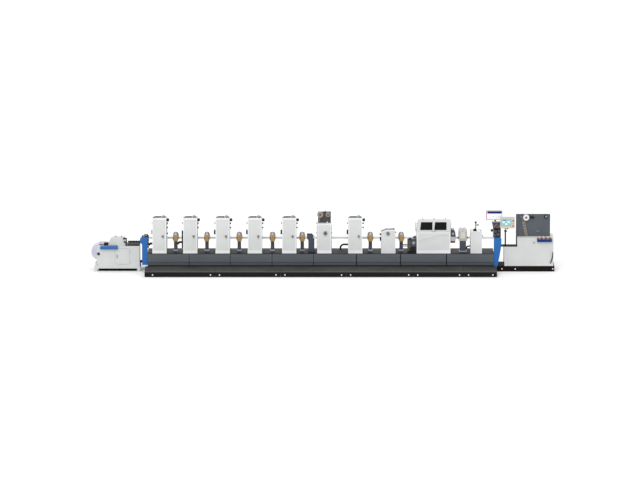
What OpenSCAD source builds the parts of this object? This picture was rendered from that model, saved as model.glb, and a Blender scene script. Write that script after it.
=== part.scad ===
// Offset label press: unwinder, bed with printing towers, die cutter and rewinder.
// X runs along the web, Y from the operator to the drive side, Z up from the floor.

/* [Bed] */
// Distance from the first printing tower to the bed's left end
start_gap = 142; // [120:1:170]
// Distance from the slitting tower to the bed's right end
end_gap = 365; // [340:1:390]
// Depth of the bed from the front panels to the rear panels
bed_d = 845; // [820:5:900]
// Height of the deck above the floor
bed_h = 580; // [560:5:600]
// Height of the lower edge of the side panels above the floor
panel_z = 208; // [195:1:225]
// Thickness of a side panel
panel_t = 20; // [14:1:26]
// Gap between neighbouring side panels
panel_gap = 14; // [8:1:20]
// Height of the recessed band along the foot of each side panel
panel_band_h = 66; // [50:1:80]
// Height of the lip under the recessed band
panel_lip_h = 38; // [25:1:50]
// Thickness of the deck
deck_t = 20; // [14:1:26]
// Width of the dark rail along the front of the deck
deck_rail_w = 146; // [120:1:170]
// Width of the light deck plate behind the front rail
deck_plate_w = 211; // [190:1:230]
// Height of the levelling feet under the bed
bed_foot_h = 90; // [70:1:110]
// Radius of a levelling foot
foot_r = 45; // [35:1:60]

/* [Walkway] */
// Depth of the step plates in front of the bed
walk_d = 845; // [800:5:880]
// Height of the step plates above the floor
walk_h = 180; // [165:1:190]
// Distance that the walkway reaches past the bed at each end
walk_over = 75; // [40:1:90]
// Gap between neighbouring step plates
walk_gap = 6; // [4:1:12]
// Thickness of the tread plate
walk_t = 30; // [20:1:40]
// Height of the feet under the walkway
walk_foot_h = 10; // [6:1:14]

/* [Printing towers] */
// Width of a printing tower along the web
tower_w = 445; // [420:1:470]
// Height of a printing tower above the deck
tower_h = 1090; // [1040:5:1140]
// Depth of the housing on the operator side
front_d = 244; // [220:1:260]
// Depth of the housing on the drive side
rear_d = 155; // [130:1:180]
// How much lower the drive side housing is
rear_drop = 90; // [70:5:120]
// Height of the light band along the foot of a housing
skirt_h = 54; // [40:1:70]
// Depth of the step above that band
skirt_step = 4; // [2:1:8]
// Height of the web above the deck
web_over = 405; // [390:1:415]
// Width of the web
web_w = 340; // [310:5:370]
// Thickness of the web, thicker than real paper so that it can be built
web_t = 1; // [0.8:0.1:1.4]
// Radius of the blanket and impression cylinders
cylinder_r = 88; // [80:1:92]
// Radius of the plate cylinder
plate_r = 80; // [70:1:84]
// Radius of an inking roller
ink_r = 34; // [30:1:36]
// Running gap between a roller and the web
web_clear = 0.3; // [0.2:0.1:0.5]
// Radius of the round handle on the face of a tower
handle_r = 34; // [26:1:40]

/* [Dryers] */
// Width of a dryer post
post_w = 108; // [90:1:130]
// Depth of a dryer post
post_d = 200; // [160:5:240]
// Height of the light foot under a dryer post
post_foot_h = 60; // [40:1:80]
// Width of a dryer head at the web
dryer_w = 186; // [160:2:200]
// Height of the gold part of a dryer head
dryer_h = 200; // [180:2:220]
// Height of the cap on a dryer head
dryer_cap_h = 100; // [80:2:120]
// Distance from the foot of a dryer head up to the web
dryer_under = 70; // [60:1:80]
// Height of the slot that the web runs through
dryer_slot = 16; // [10:1:24]

/* [Foil unit] */
// Height of the foil tower above the deck
foil_h = 925; // [880:5:960]
// Width of the plate that carries the foil reels
foil_plate_w = 397; // [370:1:420]
// Height of that plate
foil_plate_h = 350; // [320:5:380]
// Thickness of that plate
foil_plate_t = 24; // [16:1:32]
// Radius of the left foil reel
reel_left_r = 93; // [80:1:98]
// Radius of the right foil reel
reel_right_r = 71; // [60:1:80]
// Width of a foil reel along its shaft
reel_w = 70; // [50:5:90]
// Radius of a reel shaft
reel_shaft_r = 12; // [8:1:16]

/* [Varnish and slitting towers] */
// Height of the varnish tower above the deck at its higher side
varnish_h = 715; // [680:5:750]
// Drop of the varnish tower's curved top towards its lower side
varnish_drop = 75; // [50:5:100]
// Height of the slitting tower above the deck
slit_h = 690; // [660:5:720]
// Width of the slitting tower
slit_w = 356; // [330:1:380]

/* [Die cutter] */
// Width of the die cutter along the web
die_w = 1050; // [1000:5:1100]
// Height of the die cutter's housing above the deck, up to the seam
die_h = 670; // [640:5:700]
// Height of the hood above the seam
hood_h = 375; // [345:5:400]
// How far the hood's left side leans in at the top
hood_lean = 68; // [40:1:90]
// Thickness of the hood's sheet
hood_t = 20; // [14:1:26]
// Gap between the hood and the housing
hood_gap = 5; // [5:1:10]
// Height of a window in the hood
window_h = 230; // [200:5:250]
// Width of a window in the hood
window_w = 362; // [320:1:380]
// Radius of the hood's hinge pins
hinge_r = 10; // [8:1:14]

/* [Unwinder] */
// Length of the unwinder's cabinet
unwind_l = 1330; // [1280:5:1380]
// Depth of the unwinder
unwind_d = 700; // [680:5:740]
// Height of the cabinet above the floor
unwind_h = 796; // [770:2:820]
// Height of the hump's top above the floor
hump_top = 1071; // [1040:2:1100]
// Height of the base bar's lower edge above the floor
unwind_base_z = 95; // [80:1:110]
// Gap between the cabinet and the infeed frame's widest point
unwind_gap = 8; // [5:1:20]
// Radius of the paper roll
roll_r = 240; // [220:5:250]
// Radius of the roll's shaft
roll_shaft_r = 30; // [26:1:38]
// Height of the roll's shaft above the floor
roll_z = 560; // [545:5:580]
// Distance that the roll reaches past the cabinet
roll_over = 178; // [160:1:200]
// Width of the cabinet door
door_w = 449; // [420:1:470]
// Height of the cabinet door
door_h = 487; // [460:1:510]
// Thickness of the cabinet door
door_t = 20; // [14:1:26]
// Gap round the cabinet door
door_gap = 5; // [5:1:8]

/* [Rewinder] */
// Length of the plinth that shows left of the low cabinet
plinth_left = 225; // [200:1:250]
// Length of the plinth that shows right of the main cabinet
plinth_right = 34; // [20:1:50]
// Height of the rewinder's plinth
plinth_h = 175; // [160:1:190]
// Height of the main cabinet above the floor
rewind_h = 1066; // [1050:2:1090]
// Length of the main cabinet
rewind_main_l = 1119; // [1090:1:1150]
// Length of the low cabinet
rewind_low_l = 394; // [370:1:410]
// Height of the low cabinet above the floor
rewind_low_h = 781; // [760:1:800]
// Width of the back plate
plate_w = 1057; // [1020:1:1080]
// Height of the back plate's top above the floor
plate_top = 1762; // [1740:2:1790]
// Thickness of the back plate
plate_t = 40; // [30:1:50]
// Radius of the waste reel
waste_r = 93; // [80:1:100]

/* [Controls] */
// Width of the monitor
monitor_w = 500; // [470:5:510]
// Height of the monitor
monitor_h = 292; // [270:2:310]
// Thickness of the monitor
monitor_t = 34; // [28:1:44]
// Width of the operator panel
hmi_w = 448; // [430:2:470]
// Height of the operator panel
hmi_h = 350; // [330:2:370]
// Thickness of the operator panel
hmi_t = 80; // [60:2:90]
// Radius of the post that carries the operator panel
hmi_post_r = 23; // [18:1:28]

/* [Hidden] */
$fn = 48;

// Colours
white = [0.90, 0.91, 0.90];
grey_white = [0.84, 0.86, 0.85];
slate = [0.34, 0.37, 0.42];
dark = [0.13, 0.13, 0.14];
deck_grey = [0.30, 0.32, 0.32];
blue = [0.16, 0.42, 0.73];
gold = [0.77, 0.63, 0.31];
steel = [0.62, 0.63, 0.65];
cream = [0.85, 0.82, 0.74];
brown = [0.45, 0.35, 0.28];
paper = [0.88, 0.87, 0.95];

// Fits; a bite is how far joined pieces of one body run into each other
fit = 0.05;
seat = 0.3;
bite = 2;

// End frames
infeed_w = 174;
infeed_bulge = 68;
infeed_z = 218;
infeed_h = 1095;
outfeed_top_w = 232;
outfeed_foot_w = 115;
outfeed_z = plinth_h;
outfeed_h = 1070;
end_frame_d = 200;
rear_inset = 80;
rear_lower = 15;
infeed_pass = [150, 100];
outfeed_pass = [125, 190];

// Widths of the units on the bed, in order, and the gap before each of them
guide_w = 190;
drive_w = 270;
inspection_w = 266;
unit_w = [
    tower_w, dryer_w, tower_w, dryer_w, tower_w, dryer_w, tower_w, dryer_w, tower_w, dryer_w,
    guide_w, tower_w, tower_w, dryer_w, tower_w, dryer_w, drive_w, die_w, inspection_w, slit_w
];
gap_before = [
    start_gap, 179, 142, 194, 176, 194, 170, 229, 202, 87,
    94, 84, 512, 152, 238, 89, 94, 12, 252, 99
];
function sum_to(list, n) = n < 0 ? 0 : list[n] + sum_to(list, n - 1);
function unit_at(i) = sum_to(gap_before, i) + sum_to(unit_w, i - 1) + unit_w[i] / 2;

// Distances of the units' middles from the bed's left end
tower_at = [for (i = [0, 2, 4, 6, 8, 12]) unit_at(i)];
dryer_at = [for (i = [1, 3, 5, 7, 9, 13, 15]) unit_at(i)];
guide_at = unit_at(10);
foil_at = unit_at(11);
varnish_at = unit_at(14);
drive_at = unit_at(16);
die_at = unit_at(17);
inspection_at = unit_at(18);
slit_at = unit_at(19);
bed_l = slit_at + slit_w / 2 + end_gap;

// Distances of the seams from the bed's left end; the last panel takes what is left
panel_seams = [1280, 2551, 3844, 5128, 6454, 7815, 9235];
walk_seams = [2095, 4110, 6130, 8195, 9760];

// Places along the web; the whole press is centred on the origin
unwind_reach = roll_over + unwind_l + unwind_gap + infeed_bulge + infeed_w;
rewind_start = 105;
rewind_l = plinth_left + rewind_low_l + rewind_main_l + plinth_right;
rewind_reach = rewind_start + rewind_l;
bed_x0 = (unwind_reach - bed_l - rewind_reach) / 2;
bed_x1 = bed_x0 + bed_l;
unwind_x1 = bed_x0 - infeed_w - infeed_bulge - unwind_gap;
unwind_x0 = unwind_x1 - unwind_l;
rewind_x0 = bed_x1 + rewind_start;
rewind_x1 = rewind_x0 + rewind_l;

// Places across the web
bed_y = (walk_d - bed_d) / 2;
bed_back = bed_y + bed_d;
front_y = bed_y + front_d;
rear_y = bed_back - rear_d;
web_mid = (front_y + rear_y) / 2;
unit_y = bed_y + 60;
unit_back = unit_y + unwind_d;

// Heights that follow from the deck
web_z = bed_h + web_over;
web_low = web_z - web_t / 2 - web_clear;
web_high = web_z + web_t / 2 + web_clear;

// Block between two corners
module block(low, high) {
    translate(low)
        cube(high - low);
}

// Flat outline in X and Z, made solid from one Y to another
module across(y0, y1) {
    translate([0, y1, 0])
        rotate([90, 0, 0])
            linear_extrude(y1 - y0)
                children();
}

// Flat outline in Y and Z, made solid from one X to another
module along(x0, x1) {
    translate([x0, 0, 0])
        rotate([90, 0, 90])
            linear_extrude(x1 - x0)
                children();
}

// Round bar across the web
module roller(x, z, r, y0, y1) {
    translate([x, y1, z])
        rotate([90, 0, 0])
            cylinder(h = y1 - y0, r = r);
}

// Round bar along the web
module bar_x(x0, x1, y, z, r) {
    translate([x0, y, z])
        rotate([0, 90, 0])
            cylinder(h = x1 - x0, r = r);
}

// Rectangle with round corners, from its lower left corner
module round_rect(w, h, r) {
    translate([r, 0])
        square([w - 2 * r, h]);
    translate([0, r])
        square([w, h - 2 * r]);
    for (x = [r, w - r], z = [r, h - r])
        translate([x, z])
            circle(r = r);
}

function panel_edges(seams, x0, x1) = concat([x0], [for (s = seams) bed_x0 + s], [x1]);

// The bed

module bed_frame() {
    bracket_w = 180;
    z0 = bed_foot_h + 20;
    z1 = walk_h - 20;
    color(dark) {
        block([bed_x0, bed_y + panel_t, bed_foot_h], [bed_x1, bed_back - panel_t, bed_h - deck_t]);
        // Brackets that hold the walkway
        for (at = concat([150], walk_seams, [bed_l - 150]))
            block([bed_x0 + at - bracket_w / 2, bed_y, z0],
                [bed_x0 + at + bracket_w / 2, bed_y + panel_t + bite, z1]);
    }
}

module deck_plate() {
    color(deck_grey)
        block([bed_x0, bed_y + deck_rail_w, bed_h - deck_t],
            [bed_x1, bed_y + deck_rail_w + deck_plate_w, bed_h]);
}

module deck_rails() {
    color(dark) {
        block([bed_x0, bed_y, bed_h - deck_t], [bed_x1, bed_y + deck_rail_w, bed_h]);
        block([bed_x0, bed_y + deck_rail_w + deck_plate_w, bed_h - deck_t],
            [bed_x1, bed_back, bed_h]);
    }
}

// Section of a side panel: flat face, recessed band and lip
module panel_section() {
    lip_top = panel_z + panel_lip_h;
    band_top = lip_top + panel_band_h;
    top = bed_h - deck_t;
    polygon([
        [panel_t, panel_z], [4, panel_z], [4, lip_top], [10, lip_top + 8], [10, band_top - 8],
        [0, band_top], [0, top], [panel_t, top]
    ]);
}

module side_panels() {
    edges = panel_edges(panel_seams, bed_x0, bed_x1);
    for (i = [0:len(edges) - 2])
        along(edges[i] + panel_gap / 2, edges[i + 1] - panel_gap / 2)
            panel_section();
}

module front_panels() {
    color(slate)
        translate([0, bed_y, 0])
            side_panels();
}

module rear_panels() {
    color(slate)
        translate([0, bed_back, 0])
            mirror([0, 1, 0])
                side_panels();
}

module foot(x, y, h) {
    translate([x, y, 0])
        cylinder(h = h, r = foot_r);
}

module feet() {
    inset = 120;
    color(steel) {
        for (x = [bed_x0 + inset, bed_x1 - inset], y = [bed_y + inset, bed_back - inset])
            foot(x, y, bed_foot_h);
        for (s = panel_seams, y = [bed_y + inset, bed_back - inset])
            foot(bed_x0 + s, y, bed_foot_h);
    }
}

// The walkway

module walkway() {
    edges = panel_edges(walk_seams, bed_x0 - walk_over, bed_x1 + walk_over);
    front = bed_y - walk_d;
    wall = 12;
    inset = 60;
    color(deck_grey)
        for (i = [0:len(edges) - 2]) {
            x0 = edges[i] + walk_gap / 2;
            x1 = edges[i + 1] - walk_gap / 2;
            difference() {
                block([x0, front, walk_foot_h], [x1, bed_y, walk_h]);
                block([x0 + wall, front + wall, walk_foot_h - 1],
                    [x1 - wall, bed_y - wall, walk_h - walk_t]);
            }
            for (x = [x0 + inset, x1 - inset], y = [front + inset, bed_y - inset])
                translate([x, y, 0])
                    cylinder(h = walk_h - walk_t + bite, r = 25);
        }
}

// The unwinder

module unwind_base() {
    color(dark)
        block([unwind_x0 + 60, unit_y + 110, 0], [unwind_x1 - 110, unit_back - 110, unwind_base_z]);
}

roll_x = unwind_x0 - roll_over + roll_r;
bay_y0 = unit_y + front_d;
bay_y1 = unit_back - 60;
door_x1 = unwind_x1 - 313;
door_x0 = door_x1 - door_w;
door_z0 = 230;
waist_z = 640;
waist_foot_z = 400;
bay_floor_z = 300;
door_pin_r = 5;
door_pin_y = unit_y - 12;
door_pin_x = door_x1 + door_gap / 2;

base_flare = 70;
base_bar_h = 57;
unwind_foot_w = 90;

// Outline of the cabinet's sides, narrower at the waist and flared at the foot
module unwind_outline() {
    bar_top = unwind_base_z + base_bar_h;
    polygon([
        [unwind_x0 - base_flare, unwind_base_z], [unwind_x1 + 20, unwind_base_z],
        [unwind_x1 + 20, bar_top], [unwind_x1, bar_top + 14], [unwind_x1, unwind_h],
        [unwind_x0 + 60, unwind_h], [unwind_x0 + 10, unwind_h - 40], [unwind_x0 - 10, waist_z],
        [unwind_x0, waist_foot_z], [unwind_x0, bar_top + 110], [unwind_x0 - 45, bar_top + 40],
        [unwind_x0 - base_flare, bar_top]
    ]);
}

module unwind_cabinet() {
    color(white) {
        difference() {
            across(unit_y, bay_y0)
                unwind_outline();
            // Seat of the roll's shaft, open to the left
            roller(roll_x, roll_z, roll_shaft_r + fit, unit_y - 1, bay_y0 + 1);
            block([unwind_x0 - 100, unit_y - 1, roll_z - roll_shaft_r - fit],
                [roll_x, bay_y0 + 1, roll_z + roll_shaft_r + fit]);
            // Cupboard behind the door
            block([door_x0 - door_gap, unit_y - 1, door_z0 - door_gap],
                [door_x1 + door_gap, unit_y + door_t + 3, door_z0 + door_h + door_gap]);
            block([door_x0 + 25, unit_y - 1, door_z0 + 25],
                [door_x1 - 25, bay_y0 - 40, door_z0 + door_h - 25]);
        }
        // Drive side wall with the bearing of the shaft
        difference() {
            across(bay_y1, unit_back)
                unwind_outline();
            roller(roll_x, roll_z, roll_shaft_r + fit, bay_y1 - 1, bay_y1 + 40);
        }
        // Floor and right wall between the two sides
        block([unwind_x0, bay_y0 - bite, unwind_base_z], [unwind_x1, bay_y1 + bite, bay_floor_z]);
        block([unwind_x1 - 40, bay_y0 - bite, bay_floor_z - bite],
            [unwind_x1, bay_y1 + bite, unwind_h - 120]);
        // Feet at the corners
        for (x = [unwind_x0 - base_flare, unwind_x1 + 20 - unwind_foot_w],
            y = [unit_y, unit_back - unwind_foot_w])
            block([x, y, 0], [x + unwind_foot_w, y + unwind_foot_w, unwind_base_z + bite]);
        // Hinge lugs and pins of the door
        for (z = [door_z0 + 60, door_z0 + door_h - 120]) {
            translate([door_pin_x, door_pin_y, z - 12])
                cylinder(h = 84, r = door_pin_r);
            for (end = [z - 12, z + 60 + seat])
                union() {
                    block([door_pin_x - 6, door_pin_y - 6, end],
                        [door_pin_x + 22, door_pin_y + 6, end + 12 - seat]);
                    block([door_pin_x + 5, door_pin_y + 6, end],
                        [door_pin_x + 22, unit_y, end + 12 - seat]);
                }
        }
    }
}

module unwind_door() {
    color(white) {
        difference() {
            union() {
                block([door_x0, unit_y, door_z0], [door_x1, unit_y + door_t, door_z0 + door_h]);
                for (z = [door_z0 + 60, door_z0 + door_h - 120])
                    translate([door_pin_x, door_pin_y, z + seat])
                        difference() {
                            union() {
                                cylinder(h = 60 - seat, r = 9);
                                translate([-30, 0, 0])
                                    cube([30, 12, 60 - seat]);
                            }
                            translate([0, 0, -1])
                                cylinder(h = 62, r = door_pin_r + fit);
                        }
            }
            // Recess that leaves a raised rim
            block([door_x0 + 18, unit_y - 1, door_z0 + 18],
                [door_x1 - 40, unit_y + 2, door_z0 + door_h - 18]);
        }
        block([door_x0 + 50, unit_y - 14, door_z0 + 200], [door_x0 + 78, unit_y + 2, door_z0 + 295]);
    }
}

hump_x0 = unwind_x0 + 384;
hump_x1 = unwind_x0 + 880;
hump_y0 = unit_y + 40;

module unwind_hump() {
    hump_r = 180;
    color(white) {
        across(hump_y0, bay_y0)
            difference() {
                translate([hump_x0, unwind_h])
                    square([hump_x1 - hump_x0, hump_top - unwind_h]);
                translate([hump_x0, hump_top - hump_r])
                    difference() {
                        square([hump_r, hump_r + 1]);
                        translate([hump_r, 0])
                            circle(r = hump_r);
                    }
            }
        for (x = [hump_x0 + 208, hump_x0 + 387])
            translate([x, hump_y0 + 50, hump_top - bite])
                cylinder(h = 36, r1 = 22, r2 = 12);
    }
}

module unwind_bracket() {
    post_x0 = hump_x1 + 19;
    post_x1 = hump_x1 + 59;
    color(dark) {
        // Post right of the hump with two arms along the hump's face
        block([post_x0, unit_y, unwind_h], [post_x1, hump_y0, hump_top - 16]);
        block([hump_x1 - 59, unit_y, hump_top - 56], [post_x1, hump_y0, hump_top - 16]);
        block([hump_x1 - 43, unit_y, hump_top - 161], [post_x1, hump_y0, hump_top - 129]);
        // Box on the cabinet's top, left of the hump
        block([unwind_x0 + 230, unit_y + 10, unwind_h], [unwind_x0 + 358, unit_y + 80, unwind_h + 108]);
        // Guard over the roll, on legs that stand on both walls
        x0 = unwind_x0 + 74;
        x1 = unwind_x0 + 322;
        guard_z = roll_z + roll_r + 6;
        block([x0, bay_y0 - 20, guard_z], [x1, bay_y1 + 20, guard_z + 14]);
        for (y = [bay_y0 - 20, bay_y1])
            block([x0, y, unwind_h], [x1, y + 20, guard_z + bite]);
    }
}

module unwind_roll() {
    color(paper)
        difference() {
            roller(roll_x, roll_z, roll_r, bay_y0 + 15, bay_y1 - 15);
            roller(roll_x, roll_z, roll_shaft_r, bay_y0, bay_y1);
        }
}

module unwind_shaft() {
    color(dark) {
        roller(roll_x, roll_z, roll_shaft_r, unit_y - 5, bay_y1 + 38);
        roller(roll_x, roll_z, roll_shaft_r + 8, unit_y - 35, unit_y - 5);
    }
}

// The end frames

module infeed_outline() {
    x0 = bed_x0 - infeed_w;
    bulge_x = x0 + 54;
    bulge_z = infeed_h - 118;
    intersection() {
        union() {
            translate([x0, infeed_z])
                square([infeed_w, bulge_z - infeed_z]);
            translate([bulge_x, bulge_z])
                circle(r = 54 + infeed_bulge);
            translate([bulge_x, bulge_z - bite])
                square([infeed_w - 54, 54 + infeed_bulge + bite]);
        }
        translate([x0 - 2 * infeed_bulge, 0])
            square([2 * infeed_bulge + infeed_w, 2 * infeed_h]);
    }
}

module infeed_frame() {
    color(blue) {
        across(bed_y, bed_y + end_frame_d)
            infeed_outline();
        across(bed_back - end_frame_d, bed_back)
            intersection() {
                infeed_outline();
                translate([bed_x0 - infeed_w, infeed_z])
                    square([infeed_w - rear_inset, web_z - infeed_z - rear_lower]);
            }
        block([bed_x0 - infeed_w, bed_y + end_frame_d - bite, infeed_z],
            [bed_x0 - rear_inset, bed_back - end_frame_d + bite, infeed_z + 300]);
    }
    // Link to the unwinder
    color(dark)
        block([unwind_x1, unit_y + 100, 260], [bed_x0 - infeed_w + bite, unit_y + 180, 330]);
}

infeed_top = infeed_h - 118 + 54 + infeed_bulge;

module infeed_bracket() {
    x1 = bed_x0 + 38;
    y0 = bed_y + 20;
    y1 = bed_y + 100;
    duct_z = web_z - 164;
    tower_left = bed_x0 + start_gap + skirt_step;
    color(dark) {
        block([bed_x0 - 173, y0, infeed_top], [x1, y1, infeed_top + 42]);
        block([bed_x0 - 100, y0, infeed_top + 40], [bed_x0 + 10, y1, infeed_top + 76]);
        block([bed_x0, y0, web_z - 233], [x1, y1, infeed_top + bite]);
        // Cable duct to the first printing tower
        across(y0, y1)
            polygon([
                [x1 - bite, duct_z], [x1 + 24, duct_z], [x1 + 64, duct_z + 35],
                [tower_left, duct_z + 35], [tower_left, duct_z + 90], [x1 + 40, duct_z + 90],
                [x1 - bite, duct_z + 54]
            ]);
    }
}

module outfeed_outline() {
    polygon([
        [bed_x1, outfeed_z], [bed_x1 + outfeed_foot_w, outfeed_z],
        [bed_x1 + outfeed_top_w - 18, outfeed_h - 356], [bed_x1 + outfeed_top_w, outfeed_h - 140],
        [bed_x1 + outfeed_top_w, outfeed_h - 40], [bed_x1 + outfeed_top_w - 30, outfeed_h],
        [bed_x1, outfeed_h]
    ]);
}

module outfeed_frame() {
    color(blue) {
        across(bed_y, bed_y + end_frame_d)
            outfeed_outline();
        across(bed_back - end_frame_d, bed_back)
            intersection() {
                outfeed_outline();
                translate([bed_x1 + rear_inset, outfeed_z])
                    square([2 * outfeed_top_w, outfeed_h]);
            }
        block([bed_x1 + rear_inset, bed_y + end_frame_d - bite, outfeed_z],
            [bed_x1 + outfeed_foot_w, bed_back - end_frame_d + bite, outfeed_z + 300]);
    }
}

// The towers

// Front and rear housings that carry the rollers between them
module housings(x, w, h, drop = rear_drop) {
    x0 = bed_x0 + x - w / 2;
    x1 = x0 + w;
    border = 40;
    skirt_top = bed_h + skirt_h;
    difference() {
        union() {
            block([x0, bed_y, bed_h], [x1, front_y, skirt_top]);
            block([x0 + skirt_step, bed_y + skirt_step, skirt_top - bite],
                [x1 - skirt_step, front_y, bed_h + h]);
        }
        // Recess that leaves a raised border round the face
        block([x0 + border, bed_y - 1, skirt_top + border],
            [x1 - border, bed_y + skirt_step + 3, bed_h + h - border]);
    }
    block([x0, rear_y, bed_h], [x1, bed_back, bed_h + h - drop]);
    block([x0, front_y - bite, bed_h], [x1, rear_y + bite, skirt_top]);
}

module print_tower(i) {
    color(grey_white)
        housings(tower_at[i], tower_w, tower_h);
}

blanket_z = web_high + cylinder_r;
impression_z = web_low - cylinder_r;
roller_gap = 1;

module cylinder_set(x, top_r) {
    roller(x, impression_z, cylinder_r, front_y, rear_y);
    roller(x, blanket_z, cylinder_r, front_y, rear_y);
    roller(x, blanket_z + cylinder_r + top_r + roller_gap, top_r, front_y, rear_y);
}

module print_cylinders() {
    color(steel)
        for (at = tower_at)
            cylinder_set(bed_x0 + at, plate_r);
}

plate_z = blanket_z + cylinder_r + plate_r + roller_gap;
form_z = plate_z + plate_r + ink_r + roller_gap;
ink_pitch = 2 * ink_r + roller_gap;
ink_rise = ink_pitch * sin(60);

module ink_rollers() {
    reach = plate_r + ink_r + roller_gap;
    color(slate)
        for (at = tower_at) {
            x = bed_x0 + at;
            // Form rollers round the plate cylinder
            for (a = [45, 90, 135])
                roller(x + reach * cos(a), plate_z + reach * sin(a), ink_r, front_y, rear_y);
            // Rows of two, three and two rollers above them
            for (row = [1, 3], side = [-1, 1])
                roller(x + side * ink_pitch / 2, form_z + row * ink_rise, ink_r, front_y, rear_y);
            for (side = [-1, 0, 1])
                roller(x + side * ink_pitch, form_z + 2 * ink_rise, ink_r, front_y, rear_y);
        }
}

// Ink ducts lie on the drive side housings and reach the back of the front housings
module ink_ducts() {
    duct_z = bed_h + tower_h - rear_drop;
    varnish_z = bed_h + varnish_h - varnish_drop;
    varnish_x0 = bed_x0 + varnish_at - tower_w / 2;
    color(slate) {
        for (at = tower_at)
            translate([bed_x0 + at, 0, duct_z])
                across(front_y, rear_y + 20)
                    polygon([
                        [-200, 0], [205, 0], [205, 20], [128, 72], [84, 72], [60, 44], [-150, 44],
                        [-200, 20]
                    ]);
        // Varnish trough and its roller
        block([varnish_x0 + 12, front_y, varnish_z], [varnish_x0 + 293, rear_y + 20, varnish_z + 42]);
        block([varnish_x0 + 330, front_y, varnish_z], [varnish_x0 + 404, rear_y + 20, varnish_z + 36]);
    }
}

module tower_knobs() {
    knob_y = bed_y + 120;
    top = bed_h + tower_h;
    color(dark) {
        for (i = [0:len(tower_at) - 1]) {
            x = bed_x0 + tower_at[i];
            right = x + tower_w / 2 - skirt_step;
            left = x - tower_w / 2 + skirt_step;
            // Knobs on the right side, one more on the first tower
            for (down = i == 0 ? [161, 296, 480] : [161, 296])
                bar_x(right, right + 24, knob_y, top - down, 18);
            // Small knob and wheel on the left side
            bar_x(left - 20, left, knob_y, top - 154, 14);
            if (i != 1)
                bar_x(left - 26, left, knob_y, top - 437, 71);
            // Handle of the ink fountain
            block([right, knob_y - 24, top - 84], [right + 24, knob_y + 24, top - 20]);
            bar_x(right + 22, right + 66, knob_y, top - 54, 48);
            bar_x(right + 64, right + 84, knob_y, top - 54, 26);
            roller(x + 106, web_z + 133, handle_r, bed_y - 26, bed_y + skirt_step + 3);
        }
        // Dark duct along the left side of the second tower
        left_2 = bed_x0 + tower_at[1] - tower_w / 2 + skirt_step;
        block([left_2 - 46, knob_y - 40, web_z - 252], [left_2, knob_y + 40, web_z + 292]);
        // Round knobs on the foil tower
        foil_left = bed_x0 + foil_at - tower_w / 2 + skirt_step;
        foil_right = foil_left + tower_w - 2 * skirt_step;
        roller(foil_left + 250, web_z + 231, 59, bed_y - 30, bed_y + skirt_step + 3);
        for (up = [231, 520])
            bar_x(foil_left - 24, foil_left, knob_y, web_z + up, 22);
        bar_x(foil_right, foil_right + 24, knob_y, web_z + 231, 22);
        // Knobs on the varnish tower
        varnish_left = bed_x0 + varnish_at - tower_w / 2 + skirt_step;
        varnish_right = varnish_left + tower_w - 2 * skirt_step;
        roller(varnish_left + 206, web_z + 221, 53, bed_y - 26, bed_y + skirt_step);
        bar_x(varnish_right, varnish_right + 24, knob_y, web_z + 240, 22);
        bar_x(varnish_left - 52, varnish_left, knob_y, web_z + 180, 29);
        block([varnish_left - 44, knob_y - 30, web_z - 25], [varnish_left, knob_y + 30, web_z + 89]);
        // Knob on the slitting tower
        slit_right = bed_x0 + slit_at + slit_w / 2 - skirt_step;
        bar_x(slit_right, slit_right + 30, knob_y, web_z + 127, 20);
        // Clamps beside the inspection camera box
        for (side = [-1, 1]) {
            x = bed_x0 + inspection_at + side * (inspection_w / 2 + 15);
            block([x - 15, front_y - 20, web_z + 28], [x + 15, front_y + 60, web_z + 68]);
        }
        // Knob on the rewinder's cabinet
        roller(main_x0 + 514, rewind_h - 156, 22, unit_y - 24, unit_y);
    }
}

// Dryers

dryer_low = web_z - dryer_under;
dryer_cap_w = 128;

module dryer_posts() {
    y0 = web_mid - post_d / 2;
    for (at = dryer_at) {
        x = bed_x0 + at;
        color(steel)
            block([x - post_w / 2 - 20, y0 - 20, bed_h],
                [x + post_w / 2 + 20, y0 + post_d + 20, bed_h + post_foot_h]);
        color(slate)
            block([x - post_w / 2, y0, bed_h + post_foot_h], [x + post_w / 2, y0 + post_d, dryer_low]);
    }
}

module dryer_section() {
    foot = dryer_w / 2 - 27;
    shoulder = dryer_cap_w / 2 + 6;
    polygon([
        [-foot, 0], [foot, 0], [dryer_w / 2, dryer_under], [dryer_w / 2, dryer_under + 30],
        [shoulder, dryer_h], [-shoulder, dryer_h], [-dryer_w / 2, dryer_under + 30],
        [-dryer_w / 2, dryer_under]
    ]);
}

module dryer_caps() {
    half = dryer_cap_w / 2;
    color(slate)
        for (at = dryer_at)
            translate([bed_x0 + at, 0, dryer_low + dryer_h])
                across(front_y + 6, rear_y - 6)
                    polygon([
                        [-half, 0], [half, 0], [half - 18, dryer_cap_h - 40], [16, dryer_cap_h],
                        [-16, dryer_cap_h], [18 - half, dryer_cap_h - 40]
                    ]);
}

module dryer_heads() {
    y0 = front_y + 6;
    y1 = rear_y - 6;
    side = dryer_w / 2 + 1;
    color(gold)
        for (at = dryer_at)
            difference() {
                translate([bed_x0 + at, 0, dryer_low])
                    across(y0, y1)
                        dryer_section();
                block([bed_x0 + at - side, web_mid - web_w / 2 - 10, web_z - dryer_slot / 2],
                    [bed_x0 + at + side, web_mid + web_w / 2 + 10, web_z + dryer_slot / 2]);
            }
}

// Web guide

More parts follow.
